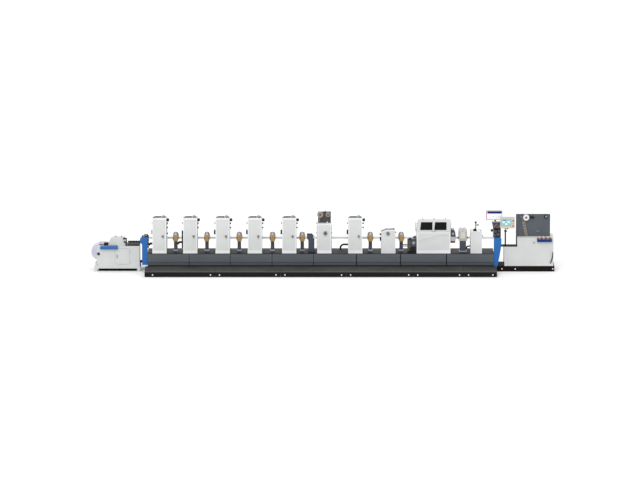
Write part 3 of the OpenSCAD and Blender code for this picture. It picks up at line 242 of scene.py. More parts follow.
MATERIALS = {
    "white": painted("white_paint", WHITE, 0.36),
    "housing": painted("housing_paint", HOUSING, 0.38),
    "slate": painted("slate_paint", SLATE, 0.42),
    "slate_post": painted("slate_post_paint", SLATE_POST, 0.42),
    "plate": painted("plate_paint", PLATE, 0.45),
    "dark": painted("dark_paint", DARK, 0.5),
    "deck": painted("deck_paint", DECK, 0.5),
    "tread": tread_plate("tread_plate", TREAD),
    "blue": painted("blue_paint", BLUE, 0.30),
    "deep_blue": painted("deep_blue_paint", DEEP_BLUE, 0.30),
    "gold": painted("gold_housing", GOLD, 0.35),
    "cream": painted("cream_paint", CREAM, 0.4),
    "brown": painted("brown_paint", BROWN, 0.55, shine=0.1),
    "steel": metal("roller_steel", STEEL, 0.25, (1.0, 0.05, 1.0)),
    "rubber": rubber("ink_rubber", (0.22, 0.24, 0.30)),
    "black": plastic("black_plastic", BLACK),
    "paper": paper_web("paper", PAPER),
    "window": dark_window("dark_window"),
    "film": paper_web("film", (0.800, 0.812, 0.835)),
    "foil_tan": paper_web("foil_tan", (0.430, 0.400, 0.360)),
    "knob_grey": painted("knob_grey_paint", (0.520, 0.495, 0.475), 0.35),
    "foil_grey": painted("foil_plate_paint", (0.290, 0.290, 0.300), 0.45),
    "vent": painted("vent_paint", (0.260, 0.280, 0.350), 0.5),
    "varnish_blue": painted("varnish_blue_paint", (0.330, 0.400, 0.620), 0.4),
    "walk_front": painted("walk_front_paint", (0.112, 0.100, 0.093), 0.6, shine=0.1),
    "walk_edge": metal("walk_edge_strip", (0.420, 0.420, 0.415), 0.4),
    "slate_band": painted("slate_band_paint", (0.300, 0.326, 0.352), 0.45),
    "cabinet": painted("cabinet_paint", CABINET, 0.38),
    # Near-black brown of the plinths under the unwinder and rewinder: partly their own dark paint, partly painted
    # shadow under the machine.
    "plinth": painted("plinth_and_shadow_paint", (0.085, 0.065, 0.050), 0.6, shine=0.1),
    # Darker lavender for the sides of the dryer hoods: painted shade.
    "hood_side_shade": painted("hood_side_shade_paint", (0.450, 0.430, 0.470), 0.4),
    "joint_line": painted("joint_line", (0.805, 0.812, 0.808), 0.6),
    "warm_brown": painted("warm_brown_paint", (0.560, 0.400, 0.300), 0.4),
    "brown_metal": metal("brown_metal", (0.480, 0.430, 0.400), 0.38),
    "blue_grey": painted("blue_grey_paint", BLUE_GREY, 0.4),
    "duct_grey": painted("duct_grey_paint", (0.560, 0.585, 0.640), 0.4),
    # Darker brownish gold: painted shade on the sides of the dryer heads, and the colour of their fins.
    "dark_gold_and_shade": painted("dark_gold_and_shade", (0.560, 0.430, 0.270), 0.4),
    "foot_grey": painted("grey_fitting", GREY, 0.4),
    "lavender": painted("lavender_cap", LAVENDER, 0.3),
    "lavender_grey": painted("lavender_grey_paint", (0.700, 0.700, 0.740), 0.4),
    "kraft": paper_web("kraft_paper", (0.600, 0.555, 0.505)),
    "orange": plastic("orange_plastic", ORANGE, 0.35),
    "console_top": painted("console_top_paint", (0.270, 0.420, 0.640), 0.4),
    "console_grey": painted("console_grey_paint", (0.330, 0.330, 0.345), 0.4),
    "bezel": painted("bezel_paint", (0.820, 0.790, 0.735), 0.4),
    "rose": plastic("rose_plastic", (0.740, 0.180, 0.250), 0.35),
    "screen_white": plastic("screen_white", (0.975, 0.978, 0.980), 0.2, 0.012),
    "screen_blue": plastic("screen_blue", (0.070, 0.130, 0.420), 0.2, 0.012),
    "screen_cyan": plastic("screen_cyan", (0.600, 0.830, 0.880), 0.2, 0.012),
    "screen_green": plastic("screen_green", (0.560, 0.780, 0.700), 0.2, 0.012),
    "pale_yellow": plastic("pale_yellow", (0.870, 0.855, 0.790), 0.3, 0.015),
}

NODE_LOOKS = {
    "bed_frame": "dark", "deck_plate": "deck", "deck_rails": "dark", "front_panels": "slate",
    # The plinth look is partly painted shadow under the machine as well as the plinths' own dark paint.
    "rear_panels": "slate", "feet": "steel", "walkway": "tread", "unwind_base": "plinth",
    "unwind_cabinet": "cabinet", "unwind_hump": "cabinet", "unwind_door": "cabinet",
    "unwind_bracket": "black", "unwind_roll": "paper", "unwind_shaft": "black",
    "infeed_frame": "blue", "print_cylinders": "steel", "ink_rollers": "rubber",
    "tower_knobs": "black", "dryer_posts": "slate_post", "dryer_heads": "gold",
    "web_guide": "slate_post", "foil_tower": "housing", "foil_plate": "foil_grey",
    "foil_reel_left": "kraft", "foil_reel_right": "kraft", "varnish_tower": "housing",
    "die_cutter": "housing", "die_hood": "housing", "die_windows": "window",
    "die_cylinders": "steel", "die_drive": "brown", "matrix_unit": "cream",
    "inspection_unit": "cream", "slitter_tower": "housing", "slitter_sensor": "black",
    "outfeed_frame": "blue", "outfeed_console": "dark", "monitor": "black",
    "hmi_panel": "cream", "hmi_post": "dark", "rewind_base": "plinth",
    "rewind_cabinet": "cabinet", "rewind_plate": "plate", "waste_reel": "paper",
    "consoles": "deep_blue", "web_rollers": "steel", "web": "film", "hoses": "black",
    "infeed_bracket": "black", "ink_ducts": "duct_grey", "dryer_caps": "lavender",
    "outfeed_rollers": "steel",
}
for number in range(1, 7):
    NODE_LOOKS["print_tower_%d" % number] = "housing"


def dress_nodes():
    for node, look in NODE_LOOKS.items():
        if node in NODES:
            mesh = NODES[node].data
            mesh.materials.clear()
            mesh.materials.append(MATERIALS[look])


# Building blocks for the small pieces

def prism(bm, outline, axis, start, end):
    """Flat outline made solid along one axis; the outline is in the other two axes, in order."""
    def point(pair, along):
        if axis == "x":
            return (along, pair[0], pair[1])
        if axis == "y":
            return (pair[0], along, pair[1])
        return (pair[0], pair[1], along)
    low = [bm.verts.new(point(p, start)) for p in outline]
    high = [bm.verts.new(point(p, end)) for p in outline]
    faces = [bm.faces.new(low), bm.faces.new(high)]
    for i in range(len(outline)):
        j = (i + 1) % len(outline)
        faces.append(bm.faces.new((low[i], low[j], high[j], high[i])))
    return faces


def rounded(x0, x1, z0, z1, radius, steps=4):
    """Outline of a rectangle with round corners."""
    corners = [(x1 - radius, z1 - radius, 0), (x0 + radius, z1 - radius, 90),
               (x0 + radius, z0 + radius, 180), (x1 - radius, z0 + radius, 270)]
    points = []
    for cx, cz, start in corners:
        for i in range(steps + 1):
            a = math.radians(start + 90.0 * i / steps)
            points.append((cx + radius * math.cos(a), cz + radius * math.sin(a)))
    return points


def lathe(bm, profile, centre, axis, sides=24):
    """Profile of (distance along the axis, radius) turned round the axis through the centre."""
    rings = []
    for along, radius in profile:
        ring = []
        for i in range(sides):
            a = 2.0 * math.pi * i / sides
            u, v = radius * math.cos(a), radius * math.sin(a)
            offset = {"x": (along, u, v), "y": (u, along, v), "z": (u, v, along)}[axis]
            ring.append(bm.verts.new(Vector(centre) + Vector(offset)))
        rings.append(ring)
    for near, far in zip(rings, rings[1:]):
        for i in range(sides):
            j = (i + 1) % sides
            bm.faces.new((near[i], near[j], far[j], far[i]))
    bm.faces.new(rings[0])
    bm.faces.new(rings[-1])


def tube(bm, path, radius, sides=12):
    """Round tube along a path of points."""
    points = [Vector(p) for p in path]
    rings = []
    for i, p in enumerate(points):
        direction = (points[min(i + 1, len(points) - 1)] - points[max(i - 1, 0)]).normalized()
        side = direction.cross(Vector((0.13, 0.91, 0.37))).normalized()
        up = direction.cross(side)
        ring = []
        for k in range(sides):
            a = 2.0 * math.pi * k / sides
            ring.append(bm.verts.new(p + side * (radius * math.cos(a)) + up * (radius * math.sin(a))))
        rings.append(ring)
    for near, far in zip(rings, rings[1:]):
        for i in range(sides):
            j = (i + 1) % sides
            bm.faces.new((near[i], near[j], far[j], far[i]))
    bm.faces.new(rings[0])
    bm.faces.new(rings[-1])


def frame_strip(bm, outer, inner, start, end):
    """Flat ring between two outlines of as many points, made solid along Y."""
    count = len(outer)
    loops = []
    for outline, y in ((outer, start), (inner, start), (inner, end), (outer, end)):
        loops.append([bm.verts.new((p[0], y, p[1])) for p in outline])
    for k in range(4):
        a, b = loops[k], loops[(k + 1) % 4]
        for i in range(count):
            j = (i + 1) % count
            bm.faces.new((a[i], a[j], b[j], b[i]))


def piece(name, body, look, make, bevel=0.0, smooth=False):
    """One object made by a function, with its material, on its body."""
    bm = bmesh.new()
    make(bm)
    bmesh.ops.recalc_face_normals(bm, faces=bm.faces)
    mesh = bpy.data.meshes.new(name)
    bm.to_mesh(mesh)
    bm.free()
    if smooth:
        for face in mesh.polygons:
            face.use_smooth = True
    thing = bpy.data.objects.new(name, mesh)
    bpy.context.scene.collection.objects.link(thing)
    mesh.materials.append(MATERIALS[look])
    if bevel:
        modifier = thing.modifiers.new("edges", "BEVEL")
        modifier.width = bevel
        modifier.segments = 2
        modifier.limit_method = "ANGLE"
        modifier.angle_limit = math.radians(40)
    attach(thing, body)
    return thing


def paint_faces(node, look, rule):
    """The faces of a CAD node that the rule picks take another material."""
    mesh = NODES[node].data
    mesh.materials.append(MATERIALS[look])
    slot = len(mesh.materials) - 1
    for face in mesh.polygons:
        if rule(face.center, face.normal):
            face.material_index = slot


KNOB = [(0.0, 0.60), (0.10, 0.95), (0.25, 1.0), (0.75, 1.0), (0.92, 0.90), (1.0, 0.70), (1.0, 0.25), (0.93, 0.20)]


def knob(bm, centre, axis, length, radius, sides=20):
    """Turned knob with a rounded rim and a dished end; a negative length points the other way."""
    lathe(bm, [(a * length, r * radius) for a, r in KNOB], centre, axis, sides)


# Small pieces of each unit

TOWERS = ["print_tower_%d" % i for i in range(1, 7)]
PANEL_SEAMS = [1.280, 2.551, 3.844, 5.128, 6.454, 7.815, 9.235]
WALK_SEAMS = [2.095, 4.110, 6.130, 8.195, 9.760]


def dress_bed():
    low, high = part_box("walkway")
    bed_low, bed_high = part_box("bed_frame")
    paint_faces("walkway", "walk_front", lambda c, n: n.z < 0.5)
    marks = [low.x + 0.245, high.x - 0.126]
    for seam in WALK_SEAMS:
        marks += [bed_low.x + seam - 0.138, bed_low.x + seam + 0.138]

    def bolts(bm):
        for x in marks:
            lathe(bm, [(0.0, 0.021), (-0.004, 0.021), (-0.004, 0.013), (-0.010, 0.012), (-0.011, 0.008)],
                  (x, low.y, 0.073), "y", 18)
    piece("walkway_bolts", "press", "white", bolts)

    def nosing(bm):
        edges = [low.x] + [bed_low.x + s for s in WALK_SEAMS] + [high.x]
        for x0, x1 in zip(edges, edges[1:]):
            prism(bm, [(low.y - 0.001, high.z - 0.022), (low.y + 0.001, high.z - 0.022),
                       (low.y + 0.001, high.z), (low.y - 0.001, high.z)], "x", x0 + 0.004, x1 - 0.004)
    piece("walkway_edge", "press", "walk_edge", nosing)

    panel_low, panel_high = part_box("front_panels")
    edges = [panel_low.x - 0.007] + [bed_low.x + s for s in PANEL_SEAMS] + [panel_high.x + 0.007]

    def screws(bm):
        for y, way in ((panel_low.y, -1.0), (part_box("rear_panels")[1].y, 1.0)):
            for x0, x1 in zip(edges, edges[1:]):
                for x in (x0 + 0.045, x1 - 0.045):
                    for z in (0.345, 0.530):
                        lathe(bm, [(0.0, 0.009), (way * 0.002, 0.009), (way * 0.003, 0.006)],
                              (x, y, z), "y", 12)
    piece("panel_screws", "press", "steel", screws)
    paint_faces("front_panels", "slate_band", lambda c, n: c.z < 0.3125)
    paint_faces("rear_panels", "slate_band", lambda c, n: c.z < 0.3125)

    def gaps(bm):
        for k, seam in enumerate(PANEL_SEAMS):
            x = bed_low.x + seam
            half = 0.017 if k > 3 else 0.009
            prism(bm, rounded(x - half, x + half, panel_low.z + 0.002, panel_high.z - 0.002, 0.003, 2), "y",
                  panel_low.y - 0.0015, panel_low.y + 0.004)
    piece("panel_gaps", "press", "dark", gaps)

    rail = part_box("deck_plate")

    def slots(bm):
        for y in (rail[0].y + 0.035, rail[1].y - 0.035):
            prism(bm, [(y - 0.006, rail[1].z), (y + 0.006, rail[1].z), (y + 0.006, rail[1].z + 0.0012),
                       (y - 0.006, rail[1].z + 0.0012)], "x", rail[0].x + 0.01, rail[1].x - 0.01)
    piece("deck_slots", "press", "dark", slots)


def dress_towers():
    for node in TOWERS + ["foil_tower", "die_cutter"]:
        low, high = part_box(node)
        paint_faces(node, "white", lambda c, n: n.y < -0.9 and c.y < 0.0058)
        paint_faces(node, "white", lambda c, n, top=high.z: n.z > 0.9 and c.z > top - 0.002 and c.y < 0.3)
    for node in ("varnish_tower", "slitter_tower"):
        low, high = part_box(node)
        paint_faces(node, "white", lambda c, n: n.z > 0.3 and c.z > 1.1 and c.y < 0.3)

    def trim(bm):
        for node, step in (("varnish_tower", 0.0), ("slitter_tower", 0.0)):
            low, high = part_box(node)
            x0, x1 = low.x + 0.004, high.x - 0.004
            prism(bm, rounded(x0, x0 + 0.010, 0.634, 1.18, 0.002, 1), "y", 0.0015, 0.006)
            prism(bm, rounded(x1 - 0.010, x1, 0.634, 1.18, 0.002, 1), "y", 0.0015, 0.006)
    piece("tower_trim", "press", "white", trim, bevel=0.001)

    def seams(bm):
        # Fine door line on each face
        for node in TOWERS + ["foil_tower"]:
            low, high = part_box(node)
            x0, x1, z0, z1 = low.x + 0.052, high.x - 0.052, 0.700, high.z - 0.060
            frame_strip(bm, rounded(x0, x1, z0, z1, 0.015), rounded(x0 + 0.003, x1 - 0.003, z0 + 0.003, z1 - 0.003, 0.012),
                        0.0060, 0.0075)
    piece("tower_door_lines", "press", "joint_line", seams)

    def handles(bm):
        for node in TOWERS:
            low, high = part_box(node)
            x, z = (low.x + high.x) / 2 + 0.106, 1.118
            lathe(bm, [(0.0, 0.034), (-0.003, 0.034), (-0.006, 0.029), (-0.006, 0.010)], (x, -0.0258, z), "y", 28)
            prism(bm, [(x - 0.008, z - 0.052), (x + 0.008, z - 0.052), (x + 0.010, z + 0.010),
                       (x, z + 0.020), (x - 0.010, z + 0.010)], "y", -0.040, -0.026)
    piece("tower_handles", "press", "knob_grey", handles, bevel=0.002)

    def dials(bm):
        low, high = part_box("foil_tower")
        x, z = low.x + 0.254, 1.216
        for r0, r1 in ((0.059, 0.047), (0.030, 0.022)):
            lathe(bm, [(0.0, r0), (-0.006, r0), (-0.009, r0 - 0.004), (-0.009, r1), (-0.002, r1 - 0.002)],
                  (x, -0.030, z), "y", 32)
        low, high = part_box("varnish_tower")
        x, z = low.x + 0.210, 1.206
        lathe(bm, [(0.0, 0.053), (-0.006, 0.053), (-0.009, 0.049), (-0.009, 0.036), (-0.002, 0.034)],
              (x, -0.026, z), "y", 32)
        lathe(bm, [(0.0, 0.020), (-0.012, 0.018), (-0.014, 0.010)], (x, -0.026, z), "y", 20)
    piece("tower_dials", "press", "knob_grey", dials, smooth=False)

    def side_knobs(bm):
        for i, node in enumerate(TOWERS):
            low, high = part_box(node)
            top = high.z
            drops = (0.161, 0.296, 0.480) if i == 0 else (0.161, 0.296)
            for down in drops:
                knob(bm, (high.x - 0.004 + 0.022, 0.120, top - down), "x", 0.022, 0.026)
            if i > 0:
                knob(bm, (low.x + 0.004 - 0.018, 0.120, top - 0.154), "x", -0.018, 0.020)
            knob(bm, (high.x + 0.058, 0.120, top - 0.054), "x", 0.012, 0.050)
            if i > 1:
                lathe(bm, [(0.0, 0.071), (-0.006, 0.075), (-0.030, 0.075), (-0.038, 0.064), (-0.038, 0.044),
                           (-0.018, 0.040), (-0.018, 0.020), (-0.036, 0.018)],
                      (low.x + 0.004 - 0.012, 0.120, top - 0.437), "x", 36)
    piece("tower_side_knobs", "press", "black", side_knobs)

    def keys(bm):
        for node in TOWERS:
            low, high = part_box(node)
            mid = (low.x + high.x) / 2
            z = high.z - 0.090
            for k in range(9):
                x = mid - 0.140 + k * 0.023
                lathe(bm, [(0.0, 0.006), (0.016, 0.006), (0.018, 0.009), (0.030, 0.009), (0.032, 0.006)],
                      (x, 0.350, z + 0.044), "z", 10)
            tube(bm, [(mid - 0.150, 0.600, z + 0.052), (mid + 0.045, 0.600, z + 0.052)], 0.010, 10)
    piece("ink_keys", "press", "blue_grey", keys)


def dress_tower_tops():
    """Ink fountain clips, screws and blades along the top edge of each tower and of the varnish tower."""
    pattern = [(0.018, 0.024, 0), (0.052, 0.040, 1), (0.104, 0.018, 0), (0.134, 0.050, 1), (0.196, 0.014, 0),
               (0.222, 0.040, 1), (0.274, 0.026, 2), (0.312, 0.030, 0), (0.352, 0.034, 1), (0.394, 0.020, 0)]

    def bits(bm, kind):
        for node in TOWERS:
            low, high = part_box(node)
            for k, (at, wide, sort) in enumerate(pattern):
                if sort != kind:
                    continue
                x = low.x + at
                tall = 0.012 + 0.010 * ((k * 7) % 3)
                prism(bm, rounded(x, x + wide, high.z - 0.001, high.z + tall, 0.003, 2), "y", 0.150 + 0.012 * (k % 3), 0.236)
    piece("tower_clips", "press", "dark", lambda bm: bits(bm, 0), bevel=0.001)
    piece("tower_blades", "press", "vent", lambda bm: bits(bm, 1), bevel=0.001)
    piece("tower_caps", "press", "foot_grey", lambda bm: bits(bm, 2), bevel=0.001)

    low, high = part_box("varnish_tower")
    curve = [(0.004, -0.084), (0.030, -0.060), (0.062, -0.036), (0.100, -0.016), (0.140, -0.006), (0.186, 0.0)]

    def varnish_bits(bm, odd):
        for k, (at, drop) in enumerate(curve):
            if k % 2 != odd:
                continue
            x, z = low.x + 0.010 + at, high.z + drop - 0.014
            prism(bm, rounded(x, x + 0.030, z, z + 0.050, 0.004, 2), "y", 0.160, 0.236)
        for k in range(4):
            if k % 2 != odd:
                continue
            x = low.x + 0.236 + k * 0.044
            prism(bm, rounded(x, x + 0.032, high.z - 0.002, high.z + 0.026 + 0.005 * k, 0.004, 2), "y", 0.170, 0.236)
    paint_faces("ink_ducts", "white", lambda c, n: c.x > low.x - 0.01)
    piece("varnish_clips_blue", "press", "varnish_blue", lambda bm: varnish_bits(bm, 0), bevel=0.001)
    piece("varnish_clips_dark", "press", "vent", lambda bm: varnish_bits(bm, 1), bevel=0.001)


def dress_dryers():
    low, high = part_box("dryer_heads")
    # Side faces of the gold heads take the darker gold: painted shade.
    paint_faces("dryer_heads", "dark_gold_and_shade", lambda c, n: abs(n.x) > 0.3)
    # The flared foot of each post is painted light grey: painted highlight.
    paint_faces("dryer_posts", "foot_grey", lambda c, n: c.z < 0.6405)
    middles = [0.859, 1.826, 2.827, 3.857, 4.777, 6.885, 7.843]
    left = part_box("bed_frame")[0].x

    def fins(bm):
        for at in middles:
            x = left + at
            for k in range(5):
                z = 0.942 + k * 0.011 if k < 3 else 1.020 + (k - 3) * 0.030
                prism(bm, rounded(x - 0.046, x + 0.046, z, z + 0.005, 0.002, 2), "y", low.y - 0.0015, low.y + 0.002)
    piece("dryer_fins", "press", "dark_gold_and_shade", fins)

    def windows(bm):
        for at in middles:
            x = left + at
            prism(bm, [(x - 0.034, 1.122), (x + 0.034, 1.122), (x + 0.026, 1.168), (x + 0.010, 1.200),
                       (x - 0.010, 1.200), (x - 0.026, 1.168)], "y", low.y - 0.0015, low.y + 0.002)
    piece("dryer_windows", "press", "lavender", windows)

    # Domed hoods that fall away to the rear, in place of the plain caps
    cap_low, cap_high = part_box("dryer_caps")
    dome = [(0.063, 0.000), (0.057, 0.030), (0.046, 0.056), (0.032, 0.078), (0.017, 0.094), (0.005, 0.100)]
    dome += [(-u, v) for u, v in reversed(dome)]

    def hoods(bm):
        stations = [(cap_low.y, 0.82, 0.66), (cap_low.y + 0.024, 1.0, 1.0), (cap_high.y - 0.006, 0.15, 1.0),
                    (cap_high.y, 0.12, 0.93)]
        for at in middles:
            x = left + at
            rings = []
            for y, share, wide in stations:
                rings.append([bm.verts.new((x + u * wide, y, cap_low.z + v * share)) for u, v in dome])
            for near, far in zip(rings, rings[1:]):
                for i in range(len(dome)):
                    j = (i + 1) % len(dome)
                    bm.faces.new((near[i], near[j], far[j], far[i]))
            bm.faces.new(rings[0])
            bm.faces.new(rings[-1])
    hood = piece("dryer_hoods", "press", "lavender", hoods)
    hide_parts("dryer_caps")
    # Every face of each hood but the flat front takes the darker lavender: painted shade on the dome's sides.
    hood.data.materials.append(MATERIALS["hood_side_shade"])
    for face in hood.data.polygons:
        if face.normal.y > -0.98:
            face.material_index = 1

    def ears(bm):
        # Clips at both sides of each head
        for at in middles:
            for side in (-1.0, 1.0):
                x = left + at + side * 0.058
                prism(bm, rounded(x - 0.012, x + 0.012, 0.985, 1.050, 0.004, 2), "y", low.y - 0.004, low.y + 0.010)
    piece("dryer_clips", "press", "brown_metal", ears, bevel=0.001)

    def clamps(bm):
        for at in middles:
            x = left + at
            lathe(bm, [(0.0, 0.013), (-0.010, 0.013), (-0.014, 0.009)], (x, 0.367, 0.870), "y", 16)
            lathe(bm, [(0.0, 0.009), (-0.006, 0.009), (-0.008, 0.006)], (x, 0.367, 0.690), "y", 16)
    piece("dryer_screws", "press", "steel", clamps)


def dress_unwinder():
    low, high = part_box("unwind_cabinet")
    left, right = low.x + 0.070, high.x - 0.020
    front = 0.060
    paint_faces("unwind_door", "steel", lambda c, n: c.y < front - 0.0045 and c.x < -6.28)
    paint_faces("unwind_bracket", "lavender_grey", lambda c, n: c.x < left + 0.33 and c.y > 0.25 and n.z > 0.5)

    def roll_face(bm):
        rlow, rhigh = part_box("unwind_roll")
        x, z = (rlow.x + rhigh.x) / 2, (rlow.z + rhigh.z) / 2
        profile = [(0.0, 0.236)]
        for k in range(16):
            r = 0.232 - k * 0.009
            profile += [(-0.0012, r), (0.0, r - 0.0045)]
        profile += [(-0.001, 0.084)]
        lathe(bm, profile, (x, rlow.y, z), "y", 64)
        lathe(bm, [(0.0, 0.083), (-0.004, 0.083), (-0.004, 0.048), (-0.001, 0.046)], (x, rlow.y, z), "y", 48)
    piece("roll_face", "unwind_roll", "paper", roll_face)

    def chuck(bm):
        slow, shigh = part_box("unwind_shaft")
        x, z = (slow.x + shigh.x) / 2, (slow.z + shigh.z) / 2
        lathe(bm, [(0.0, 0.037), (-0.006, 0.037), (-0.010, 0.033), (-0.010, 0.022), (-0.020, 0.020),
                   (-0.022, 0.014)], (x, slow.y + 0.012, z), "y", 32)
        for k in range(3):
            a = math.radians(90 + 120 * k)
            cx, cz = x + 0.028 * math.cos(a), z + 0.028 * math.sin(a)
            lathe(bm, [(0.0, 0.004), (-0.004, 0.004), (-0.005, 0.003)], (cx, slow.y + 0.003, cz), "y", 10)
    piece("shaft_chuck", "unwind_roll", "black", chuck)

    def console(bm):
        # Cap over the sloping top with two rows of keys
        x0, x1 = left + 0.114, left + 0.657
        z = high.z - 0.085
        prism(bm, [(front - 0.066, z + 0.0715), (front - 0.002, z + 0.109), (front - 0.003, z + 0.112),
                   (front - 0.067, z + 0.0745)], "x", x0 + 0.012, x1 - 0.012)
    piece("unwind_console_top", "press", "console_top", console, bevel=0.001)

    def buttons(bm, colour):
        x0 = left + 0.114
        z = high.z - 0.085
        for k in range(12):
            if k % 3 != colour:
                continue
            for row in range(2):
                share = 0.3 + 0.4 * row
                cx = x0 + 0.200 + k * 0.026
                cy = front - 0.066 + 0.064 * share
                cz = z + 0.0725 + 0.038 * share
                lathe(bm, [(0.0, 0.009), (0.008, 0.009), (0.010, 0.007)], (cx, cy, cz), "z", 14)
    piece("unwind_keys_red", "press", "orange", lambda bm: buttons(bm, 0))
    piece("unwind_keys_grey", "press", "foot_grey", lambda bm: buttons(bm, 1))
    piece("unwind_keys_dark", "press", "black", lambda bm: buttons(bm, 2))

    def trims(bm):
        # Corner foot pads, a latch low on the left and a small round fitting higher up
        for x in (low.x + 0.045, high.x - 0.045):
            for y in (0.105, 0.715):
                lathe(bm, [(0.0, 0.040), (0.010, 0.040), (0.014, 0.034), (0.014, 0.016), (0.030, 0.014)],
                      (x, y, 0.0), "z", 20)
        lathe(bm, [(0.0, 0.014), (-0.010, 0.014), (-0.014, 0.010)], (left + 0.020, front, 0.215), "y", 18)
        lathe(bm, [(0.0, 0.006), (-0.003, 0.006), (-0.004, 0.004)], (left + 0.060, front, 0.700), "y", 12)
    piece("unwind_trims", "press", "steel", trims)

    def hinge_caps(bm):
        for x in (left + 0.592, left + 0.771):
            knob(bm, (x, 0.150, 1.103), "z", 0.014, 0.018, 18)
    piece("hump_knobs", "press", "foot_grey", hinge_caps)
    hump_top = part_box("unwind_hump")[1].z
    paint_faces("unwind_hump", "foot_grey", lambda c, n: c.z > hump_top - 0.034)


def dress_ends():
    bed_low, bed_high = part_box("bed_frame")
    paint_faces("infeed_frame", "black", lambda c, n: c.x < bed_low.x - 0.1745 and c.z < 0.335 and c.z > 0.25)
    low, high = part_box("infeed_frame")

    def top_rollers(bm):
        # Round ends of the guide rollers over the infeed frame
        x0 = bed_low.x
        for x, z, r in ((x0 - 0.120, 1.135, 0.030), (x0 - 0.045, 1.150, 0.024)):
            lathe(bm, [(0.0, r), (-0.006, r), (-0.012, r * 0.7), (-0.012, r * 0.3)], (x, 0.020, z), "y", 24)
        for z in (0.820, 0.950, 1.050):
            lathe(bm, [(0.0, 0.016), (-0.008, 0.016), (-0.012, 0.011)], (x0 + 0.019, 0.020, z), "y", 18)
    piece("infeed_rollers", "press", "foot_grey", top_rollers)

    def covers(bm):
        for z in (0.300, 0.560, 0.820):
            for x in (low.x + 0.100, bed_low.x - 0.030):
                lathe(bm, [(0.0, 0.008), (-0.002, 0.008), (-0.003, 0.005)], (x, 0.0, z), "y", 12)
        out_low, out_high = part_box("outfeed_frame")
        for z in (0.300, 0.620, 0.950):
            lathe(bm, [(0.0, 0.008), (-0.002, 0.008), (-0.003, 0.005)], (out_low.x + 0.040, 0.0, z), "y", 12)
    piece("end_frame_screws", "press", "blue", covers)

    out_low, out_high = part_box("outfeed_rollers")
    paint_faces("outfeed_rollers", "dark", lambda c, n: c.z > 1.20)

    def ends(bm):
        x = bed_high.x + 0.090
        y = out_low.y
        for dx, dz, r in ((-0.062, 0.060, 0.040), (0.040, 0.082, 0.052), (-0.040, 0.176, 0.046), (0.066, 0.196, 0.042)):
            lathe(bm, [(0.0, r * 0.96), (-0.003, r * 0.9), (-0.003, r * 0.5), (-0.008, r * 0.45), (-0.012, r * 0.3)],
                  (x + dx, y, 1.070 + dz), "y", 28)
    piece("outfeed_roller_ends", "press", "console_grey", ends)

    def strip(bm):
        x = bed_high.x - 0.024
        prism(bm, rounded(x, x + 0.020, 1.080, 1.320, 0.004, 2), "y", 0.144, 0.152)
    piece("outfeed_strip", "press", "foot_grey", strip, bevel=0.001)


